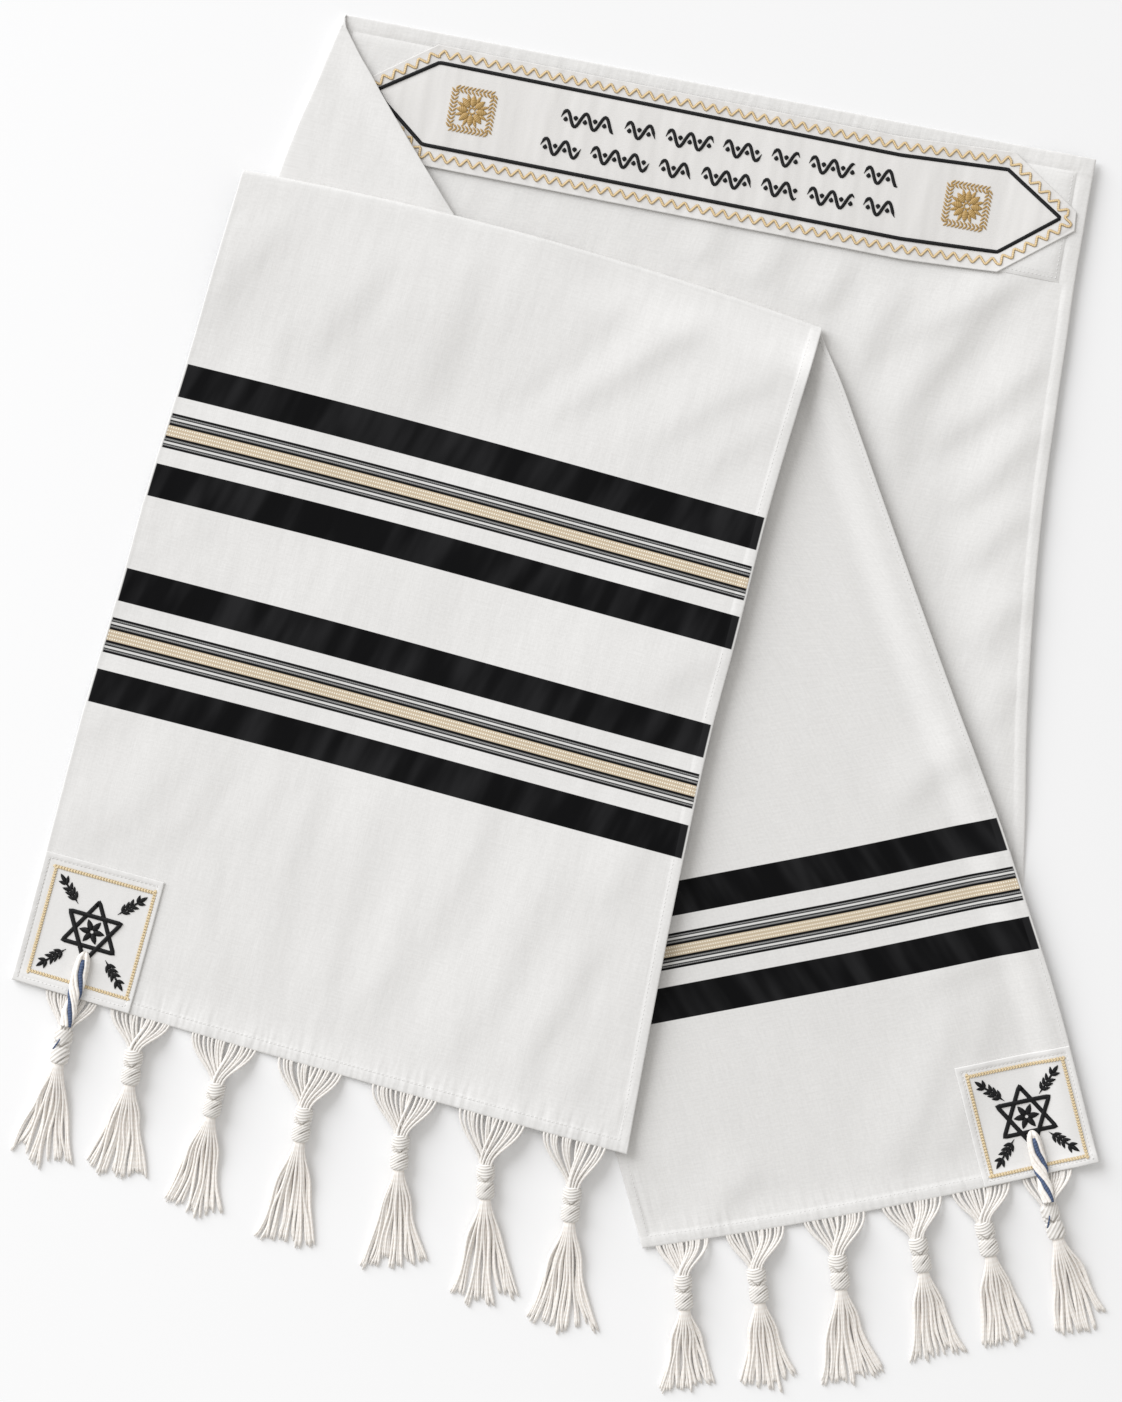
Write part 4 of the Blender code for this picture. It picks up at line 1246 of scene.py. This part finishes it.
class Corner:
    """A corner patch: places run from the outer side edge and up from the hem. Its gold frame is
    a left, right, low and high line."""

    def __init__(self, side, end, size, right, frame, eyelet):
        self.side, self.end, self.size, self.right = side, end, size, right
        self.frame, self.eyelet = frame, eyelet

    def on_end(self, from_side, from_hem):
        """The same place as a distance down and across the end."""
        down = self.end.length - from_hem
        across = self.end.stretch.width(down) - from_side if self.right else from_side
        return down, across

    def edge(self, from_side, from_hem):
        """Distance from the patch's own edge."""
        width, length = self.size
        sides = np.minimum(from_side - PATCH_INSET, width - from_side)
        return np.minimum(sides, np.minimum(from_hem - PATCH_INSET, length - from_hem))

    def wall(self, from_side, from_hem):
        """A turned and stitched border round a slightly thinner middle."""
        edge = self.edge(from_side, from_hem)
        turned_edge = 0.3 * (1 - smooth((edge - PATCH_SEAM + 0.4) / 1.6))
        return TRIM + turned_edge - 0.4 * bell(edge, PATCH_SEAM, 0.8)

    def place(self, local, lift=0.1):
        """A point over the patch's upper surface from distances off the side edge and the hem."""
        from_side, from_hem = local[..., 0], local[..., 1]
        rise = SEAM_GAP + self.wall(from_side, from_hem) + lift
        return self.end.top(*self.on_end(from_side, from_hem)) + UP * rise[..., None]


CORNERS = (
    Corner("left", FRONT_END, FRONT_PATCH, False, (11.5, 92.0, 11.0, 96.0), (51.0, 30.0)),
    Corner("right", SECOND_END, SECOND_PATCH, True, (8.5, 84.5, 7.5, 86.0), (47.0, 27.0)),
)


def corner_cloth(corner):
    """The patch's cloth, laid on its corner of the shawl."""
    from_side, from_hem = np.meshgrid(*(
        np.concatenate(
            [PATCH_INSET + PATCH_STEPS, spaced(8, size - 8, 3.2), size - PATCH_STEPS[::-1]]
        )
        for size in corner.size
    ))
    edge, wall = corner.edge(from_side, from_hem), corner.wall(from_side, from_hem)
    base = corner.end.top(*corner.on_end(from_side, from_hem), SEAM_GAP)
    middle = base + UP * wall[..., None] / 2
    weave = vectors(from_side, from_hem, edge)
    order = slice(None, None, -1 if corner.right else 1)
    grids = [lot[:, order] for lot in (middle, wall, edge, weave)]
    piece = cloth_piece(f"corner_cloth_{corner.side}", *grids, PATCH_CLOTH, "patch_cloth")
    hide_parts(f"corner_patch_{corner.side}")
    return piece


def chain_frame(corner):
    """A frame of gold chain stitch: two rows of short slanted stitches that meet in a point."""
    corners, parts = rectangle(*corner.frame), []
    for start, end in zip(corners, np.roll(corners, -1, axis=0)):
        way = unit(end - start)
        spots = start + spaced(0, np.linalg.norm(end - start), 2.3)[:, None] * way
        for lean in (0.62, -0.62):
            offset = square_to(way) * (-1.3 * np.sign(lean))
            parts.append(slanted(corner.place, spots + offset, way, lean, 3.3, 1.7, 0.75))
    thread_piece(f"corner_gold_frame_{corner.side}", parts, GOLD_CHAIN)


def sprig(place, start, heading, count, reach, leaf):
    """A straight stem with pairs of leaves and one at its tip."""
    along = np.arange(count * 3)
    points = start + along[:, None] * heading * reach / len(along)
    pick = np.linspace(2, len(along) - 3, count).astype(int)
    parts = [stem(place, points, 1.7)]
    for lean in (0.7, -0.7):
        parts.append(slanted(place, points[pick], heading, lean, leaf, leaf * 0.46, 0.8))
    parts.append(leaves(place, points[-2:-1], heading[None], leaf * 1.1, leaf * 0.5, 0.8))
    return parts


def corner_embroidery(corner):
    """A black six-pointed star of two outlined triangles round a flower, and a leaf sprig out
    towards each corner of the frame."""
    left, right, low, high = corner.frame
    centre = np.array([(left + right) / 2, (low + high) / 2])
    parts = []
    for first in (0, 1):
        tips = centre + 24.0 * around(TAU / 4 + first * math.pi + np.arange(3) * TAU / 3)
        points, _, _ = walk(tips, 1.8)
        points = np.concatenate([points, points[1:3]])
        parts.append(strands(corner.place(points, 0.1 + 0.35 * first)[None], 1.75, 0.8))
    petals = around(np.arange(6) * TAU / 6)
    parts.append(leaves(corner.place, centre + 1.2 * petals, petals, 9.0, 4.8))
    reach = np.array([(right - left) / 2, (high - low) / 2]) - 6.5
    for way in rectangle(-1.0, 1.0, -1.0, 1.0):
        tip = centre + way * reach
        parts += sprig(corner.place, tip - unit(way) * 25, unit(way), 4, 24, 6.8)
    thread_piece(f"corner_star_{corner.side}", parts, BLACK_SILK)


def eyelet(corner):
    """A worked eyelet: short stitches laid across a ring, close together all round."""
    out = around(np.arange(22) * TAU / 22)
    parts = [leaves(corner.place, np.array(corner.eyelet) + 2.0 * out, out, 3.0, 1.2, 0.7)]
    thread_piece(f"corner_eyelet_{corner.side}", parts, SEWING)


# ---------------------------------------------------------------- sewing


def stitches(place, points, headings, length=1.7, radius=0.3):
    """Short straight stitches along places, sunk into the cloth at their ends."""
    along = np.linspace(-0.5, 0.5, 5)[None, :, None]
    lifted = place(points[:, None] + headings[:, None] * length * along)
    lifted[:, [0, -1], 2] -= 0.35
    return strands(lifted, radius, radius, 5)


def off_stripes(end, down, across):
    """Whether places on an end are clear of its stripes."""
    run = cloth_run(end, end.plan(down, across), down, across)
    return np.abs(run[..., None] - STRIPE_MIDDLES).min(-1) > STRIPES_REACH


def over_neck(rise):
    """Places plan points at a height over the floor and the neck stretch's own lift."""
    return lambda points: raised(points, rise + neck_lift(points))


def hem_stitches():
    """One row of stitches inside each hem of the two ends and the neck edge."""
    parts = []
    for end, left_from in ((FRONT_END, 10.0), (SECOND_END, HIDDEN_TO + 10)):
        across = spaced(9.5, end.stretch.width(end.length) - 9.5, STITCH)
        hem = vectors(end.length - BOTTOM_HEM[0], across)
        parts.append(stitches(end.place, hem, np.broadcast_to([0.0, 1.0], hem.shape)))
        sides = (end.left_hem[0], left_from, False), (end.right_hem[0], 10.0, True)
        for inset, start, right in sides:
            if inset < ROLLED_HEM:
                continue
            down = spaced(start, end.length - 10, STITCH)
            across = end.stretch.width(down) - inset if right else np.full(len(down), inset)
            side = vectors(down, across)[off_stripes(end, down, across)]
            parts.append(stitches(end.place, side, np.broadcast_to([1.0, 0.0], side.shape)))
    width = NECK.width(NECK_HEM[0])
    share = spaced(30, width - 10, STITCH) / width
    line = NECK.spot(np.full(len(share), NECK_HEM[0]), share)
    parts.append(stitches(over_neck(CLOTH + NECK_HEM[1] * 0.3), line, way_on(line)))
    thread_piece("hem_stitches", parts, SEWING)


def facing_stitches():
    """Two close rows of stitches inside the facing's lower edge and one inside its right edge."""
    width = NECK.width(FACING_SEAM)
    lines = []
    for inset in FACING_ROWS:
        share = spaced(FACING_SIDE + inset, width - FACING_SIDE - inset, FACING_STITCH) / width
        lines.append(NECK.spot(np.full(len(share), FACING_SEAM - inset), share))
    down = spaced(FACING_TOP + 4, FACING_SEAM - 4, FACING_STITCH)
    lines.append(NECK.spot(down, 1 - (FACING_SIDE + FACING_ROWS[0]) / NECK.width(down)))
    place = over_neck(CLOTH + SEAM_GAP + TRIM - 0.15)
    parts = [stitches(place, line, way_on(line), 1.6, 0.27) for line in lines]
    thread_piece("facing_stitches", parts, SEWING)


def patch_stitches(corner):
    """One row of stitches round the patch, inside its edge."""
    width, length = corner.size
    corners = rectangle(PATCH_SEAM, width - PATCH_SEAM, PATCH_SEAM, length - PATCH_SEAM)
    points, heading, _ = walk(corners, 3.3)
    sewn = [stitches(corner.place, points, heading, 1.9)]
    thread_piece(f"corner_stitches_{corner.side}", sewn, SEWING)


# ---------------------------------------------------------------- tied fringe


KNOT = (14.6, 6.9, 6.1)  # half its length, width and height
KNOT_INSIDE = KNOT[0] - 2.0  # from its middle, where the skirt's yarns start
PITCH = 2.35  # of the yarn wound round it
YARN_RADIUS = 1.08
SKIRT_YARNS = 42
CLUMPS = 9
FAN_YARNS = 18
BUNDLE_SHARE = 0.56  # of the hem's yarns, in the left bundle
# slants of the upper and the lower half, swell and pitch of a corner tassel's winding
CORNER_WINDING = (-1.4, -1.0, 1.08, 4.2)
CORD_YARN = 1.55
# shares of the cord's length, then the size of its ellipse and the turn of its yarns at them
CORD_SWELL = ((0, 0.12, 0.35, 0.52, 0.61, 0.8, 1.0), (0.72, 0.9, 1.0, 0.78, 0.58, 0.95, 0.6))
CORD_TURN = ((0, 0.25, 0.42, 0.56, 0.68, 0.84, 1.0), (0, 0.15, 0.8, 1.8, 2.8, 3.5, 4.3))


def wound(middle, axis, side, upper_slant, lower_slant, swell, pitch):
    """A double knot of yarn wound round and round, in rows along it and turns round it. Each half
    is a barrel: 1 - 0.22 s^4 wide towards the waist and (1 - s^5)^0.4 towards its end, at s of its
    half length. Half circles of yarn ridge it, a V-shaped groove parts the two halves, and a deeper
    gap follows one turn of the lower half."""
    half_long, half_wide, half_high = KNOT[0], KNOT[1] * swell, KNOT[2]
    along = np.linspace(-0.992, 0.992, 112)[:, None] * half_long
    turn = (np.arange(52) * TAU / 52)[None, :]
    place = 2 * np.abs(along) / half_long - 1
    barrel = np.where(place < 0, 1 - 0.22 * place**4, (1 - np.clip(place, 0, 1) ** 5) ** 0.4)
    across = barrel * np.cos(turn) * half_wide
    parting = 0.4 - 0.85 * np.abs(across)
    above = along < parting
    upper_lean = upper_slant * across - 0.035 * across**2
    along_turn = along - np.where(above, upper_lean, lower_slant * across + 0.012 * across**2)
    turns = along_turn / pitch
    part = 2 * (turns - np.floor(turns)) - 1
    ridge = 0.95 * (np.sqrt(np.clip(1 - part**2, 0, 1)) - 1)
    groove = 2.2 * bell(along, parting, 0.75) * (1 - smooth((np.abs(across) - 4.8) / 1.6))
    gap = 1.5 * bell(along_turn, 3.0 * pitch, 0.6) * smooth((across + 2.5) / 4.0) * ~above
    groove = groove + gap
    ridge = (ridge - groove * (np.sin(turn) > 0)) * np.minimum(1, barrel * 1.6)
    points = (
        middle
        + raised(axis, 0.0) * (along + 0 * turn)[..., None]
        + raised(side, 0.0) * (across + ridge * np.cos(turn))[..., None]
        + UP * ((barrel * half_high + ridge) * np.sin(turn))[..., None]
    )
    # The third number is high on each wrap's crest and low in the grooves: painted highlight and
    # painted shade.
    twist = vectors(turn * half_wide, part, 1 - 1.6 * np.abs(part) - 1.2 * groove)
    return points.reshape(-1, 3), tube_faces(1, *part.shape), twist.reshape(-1, 3)


def skirt(knot, axis, side, reach, spread, chance):
    """The yarns below a knot. At t of its length a yarn is o (3.3 + 6.9 smooth(t / 0.42)) from the
    middle line, plus the rest of the way to its tip by t^2.1, where o from -1 to 1 is its place in
    the row, and it waves with its clump. It comes down from the knot and lies on the floor."""
    count = SKIRT_YARNS
    order = np.linspace(-1, 1, count) + chance.uniform(-0.03, 0.03, count)
    layer = np.array([0, 2, 1, 0, 1])[np.arange(count) % 5]
    clump = np.floor((order + 1) / 2 * (CLUMPS - 0.01)).astype(int).clip(0, CLUMPS - 1)
    centre = (clump + 0.5) / CLUMPS * 2 - 1
    tip = (order + (centre - order) * 0.45 + chance.normal(0, 0.035, count)) * spread
    length = (reach - KNOT_INSIDE) * (1 - 0.05 * order**2)
    length = length + chance.normal(0, 2.6, CLUMPS)[clump] + chance.normal(0, 1.3, count)
    t = np.linspace(0, 1, 20)[None, :]

    def wave(height, speed, many):
        """One wave for each of so many yarns or clumps, of a random height, speed and start."""
        high, fast = chance.uniform(*height, many), chance.uniform(*speed, many)
        return high[:, None] * np.sin(t * fast[:, None] + chance.uniform(0, TAU, many)[:, None])

    sway = wave((0.6, 1.5), (5, 8), CLUMPS)[clump] + wave((0.2, 0.8), (7, 12), count)
    base = order[:, None] * (3.3 + 6.9 * smooth(t / 0.42))
    lateral = base + (tip - order * 10.2)[:, None] * t**2.1 + sway * smooth((t - 0.05) / 0.5)
    forward = KNOT_INSIDE + length[:, None] * t
    rest = YARN_RADIUS * np.array([0.97, 1.8, 2.7])[layer] + chance.uniform(-0.1, 0.3, count)
    start = KNOT_HEIGHT + np.array([-2.9, 0.3, 2.9])[layer] * np.sqrt(1 - 0.8 * order**2)
    height = rest[:, None] + (start - rest)[:, None] * (1 - smooth(t / 0.62))
    height = height - (rest[:, None] - YARN_RADIUS) * 0.75 * smooth((t - 0.5) / 0.5)
    plan = knot + axis * forward[..., None] + side * lateral[..., None]
    thick = chance.uniform(0.88, 1.1, count)[:, None] * YARN_RADIUS * np.where(t > 0.98, 0.4, 1.0)
    return strands(raised(plan, height), thick, thick, 7)


def fan(end, hem_from, hem_to, knot, axis, side, chance):
    """The yarns from the hem to the knot in two bundles, the right one over the left. Each is a
    cubic that leaves square to the hem and comes in along the knot."""
    count = FAN_YARNS
    share = np.linspace(0.015, 0.985, count)
    right = share > BUNDLE_SHARE
    shift = chance.uniform(-1.0, 1.0, count)
    shift = shift + 0.9 * np.sin(share * chance.uniform(16, 24) + chance.uniform(0, TAU))
    inner = np.minimum(share, 1 - share) > 0.04
    at = hem_from + share * (hem_to - hem_from) + shift * inner
    inside = end.plan(np.full(count, end.length - 2.5), at)
    off = unit(inside - end.plan(np.full(count, end.length - 8.0), at))
    from_left = -4.4 + share / BUNDLE_SHARE * 7.0
    from_right = -4.2 + (share - BUNDLE_SHARE) / (1 - BUNDLE_SHARE) * 8.6
    place = np.where(right, from_right, from_left)
    goal = knot - axis * (KNOT[0] - 3.0) + side * place[:, None]
    long = np.linalg.norm(goal - inside, axis=1)[:, None]
    corners = np.stack([inside, inside + off * 0.42 * long, goal - axis * 0.30 * long, goal])
    t = np.linspace(0, 1, 15)
    weights = np.stack([(1 - t) ** 3, 3 * (1 - t) ** 2 * t, 3 * (1 - t) * t * t, t**3])
    plan = np.einsum("kt,kyc->ytc", weights, corners)
    bow = chance.uniform(-1.1, 1.1, count)[:, None] * np.sin(math.pi * t)
    plan = plan + side * bow[..., None]
    leaving = end.top(np.full(count, end.length - 1.0), at)[:, 2] - 0.95
    finish = KNOT_HEIGHT + np.where(right, 2.2, -1.0) + (np.arange(count) % 2) * 1.3
    height = leaving[:, None] + (finish - leaving)[:, None] * smooth(t * 1.05)
    height = height + 2.0 * right[:, None] * np.sin(math.pi * t) ** 2
    high = YARN_RADIUS * (0.72 + 0.28 * smooth(t / 0.2))
    return strands(raised(plan, height), YARN_RADIUS * 0.98, high, 7)


def blue_turn(middle, knot, axis, side):
    """The blue yarn's one short turn over a corner tassel's knot, its ends tucked in."""
    share = np.linspace(-1, 1, 9)[:, None]
    line = middle + raised(axis, 0.0) * (-1.5 + 4.6 * share)
    line = line + raised(side, 0.0) * (-3.6 - 2.2 * share)
    beside = (line[:, :2] - knot) @ side / KNOT[1] / 1.1
    line[:, 2] = KNOT_HEIGHT + KNOT[2] * np.sqrt(1 - beside**2) - 0.25
    line[[0, -1], 2] -= 0.8
    return strands(line[None], 0.65, 0.6, 7)


def tassel(name, end, row, seed, corner):
    """Two bundles of yarn from the hem, a double wound knot and a skirt of yarns on the floor."""
    hem_from, hem_to, knot_x, knot_y, tip_x, tip_y, spread = row
    chance = np.random.default_rng(seed)
    knot = np.array([knot_x, knot_y])
    down = np.array([tip_x, tip_y]) - knot
    axis = unit(down)
    side = square_to(axis)
    middle = raised(knot, KNOT_HEIGHT)
    if corner:
        winding = CORNER_WINDING
    else:
        slants = chance.uniform(-0.3, -0.05), chance.uniform(-0.95, -0.55)
        winding = (*slants, chance.uniform(1.05, 1.14), PITCH)
    yarns = skirt(knot, axis, side, np.linalg.norm(down), spread, chance)
    piece = thread_piece(f"fringe_{name}", [yarns], YARN)
    bundles = fan(end, hem_from, hem_to, knot, axis, side, chance)
    thread_piece(f"fringe_{name}_bundles", [bundles], PAINTED_SHADE_YARN)
    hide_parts(name)
    thread_piece(f"fringe_{name}_knot", [wound(middle, axis, side, *winding)], KNOT_YARN)
    if corner:
        turn = blue_turn(middle, knot, axis, side)
        thread_piece(f"fringe_{name}_blue", [turn], BLUE_YARN)


def corner_cord(name):
    """The corner's eight yarns through the eyelet: they lie round a flat ellipse, 5 mm by 2 mm, and
    slide half way round it at each of two crossings. The ellipse swells and narrows along the
    cord, and each yarn curls up out of the eyelet."""
    route = np.array(CORD_ROUTES[name])
    gone = gone_along(route)
    at = np.linspace(-3.5, gone[-1], 60)
    line = spline(gone, route, at)
    part = np.clip(at / gone[-1], 0, 1)
    heading = way_on(line)
    side = unit(np.cross(heading, UP))
    up = np.cross(side, heading)
    swell = np.interp(part, *CORD_SWELL) * np.sqrt(np.clip((at + 3.6) / 4.5, 0, 1))
    turn = np.interp(part, *CORD_TURN)
    angle = (np.arange(8) * TAU / 8 + TAU / 4)[:, None] + turn
    across = 5.0 * swell * np.cos(angle)
    high = 2.0 * (0.6 + 0.4 * swell) * np.sin(angle)
    paths = line + side * across[..., None] + up * high[..., None]
    curl = np.clip(1 - (at + 3.5) / 3.2, 0, 1) ** 2
    paths[..., 2] -= (2.6 + high) * curl
    core = line - up * 0.3
    core[:, 2] -= 3.0 * curl
    white = [1, 2, 3, 5, 6, 7]
    thick = CORD_YARN * (0.8 + 0.2 * swell)
    parts = [strands(paths[white], thick, thick * 0.95, 9)]
    parts.append(strands(core[None], 3.4 * swell, 1.3, 9))
    piece = thread_piece(f"{name}_yarns", parts, YARN)
    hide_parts(name)
    blue = paths[[0, 4]][:, 6:]
    blue[:, :4, 2] -= 1.6 * np.array([1, 0.6, 0.3, 0.1])
    thread_piece(f"{name}_blue", [strands(blue, 1.75, 1.35)], BLUE_YARN)


# ---------------------------------------------------------------- make everything

ends = shawl_ends()
neck = neck_cloth()
facing = facing_cloth()
band = band_cloth()
band_piping()
band_wave()
band_embroidery()
band_rosettes()
hem_stitches()
facing_stitches()
for corner in CORNERS:
    corner_cloth(corner)
    chain_frame(corner)
    corner_embroidery(corner)
    eyelet(corner)
    patch_stitches(corner)
for number, row in enumerate(FRONT_TASSELS, 1):
    tassel(f"front_tassel_{number}", FRONT_END, row, 100 + number, number == 1)
for number, row in enumerate(SECOND_TASSELS, 1):
    tassel(f"second_tassel_{number}", SECOND_END, row, 107 + number, number == 6)
for cord_name in CORD_ROUTES:
    corner_cord(cord_name)

# ---------------------------------------------------------------- floor, light and camera

FLOOR_HALF = 4.0
floor_mesh = bpy.data.meshes.new("floor")
corners = raised(rectangle(-FLOOR_HALF, FLOOR_HALF, -FLOOR_HALF, FLOOR_HALF), 0.0)
floor_mesh.from_pydata(corners.tolist(), [], [(0, 1, 2, 3)])
floor_mesh.materials.append(floor_finish())
floor = put("floor", floor_mesh)

SKY_STRENGTH = 0.626
world = bpy.data.worlds.new("studio")
world.use_nodes = True
sky = world.node_tree.nodes["Background"].inputs
sky["Color"].default_value = (1.0, 0.987, 0.966, 1.0)
sky["Strength"].default_value = SKY_STRENGTH
bpy.context.scene.world = world

KEY_FROM = (-0.72, 0.69)  # the side that the light comes from, in plan
KEY_RISE = math.radians(27)
KEY_HALF_ANGLE = math.radians(23)  # of its disk, seen from the shawl
KEY_AWAY = 14.0
KEY_STRENGTH = 3.54
key = put("key_light", bpy.data.lights.new("key_light", "AREA"))
key.data.color = (0.975, 0.99, 1.018)
key.data.shape = "DISK"
key.data.size = 2 * KEY_AWAY * math.tan(KEY_HALF_ANGLE)
key.data.energy = KEY_STRENGTH * math.pi * KEY_AWAY**2
key_plan = np.array(KEY_FROM) * math.cos(KEY_RISE)
key.location = KEY_AWAY * raised(key_plan, math.sin(KEY_RISE))
key.rotation_euler = (0.0, math.pi / 2 - KEY_RISE, math.atan2(KEY_FROM[1], KEY_FROM[0]))

CAMERA_HEIGHT = 2.615
camera = put("camera", bpy.data.cameras.new("camera"))
camera.data.lens = 85
camera.data.sensor_fit = "VERTICAL"
camera.data.sensor_height = 36
camera.location = (0.0, 0.0, CAMERA_HEIGHT)
bpy.context.scene.camera = camera
bpy.context.scene.view_settings.view_transform = "Standard"
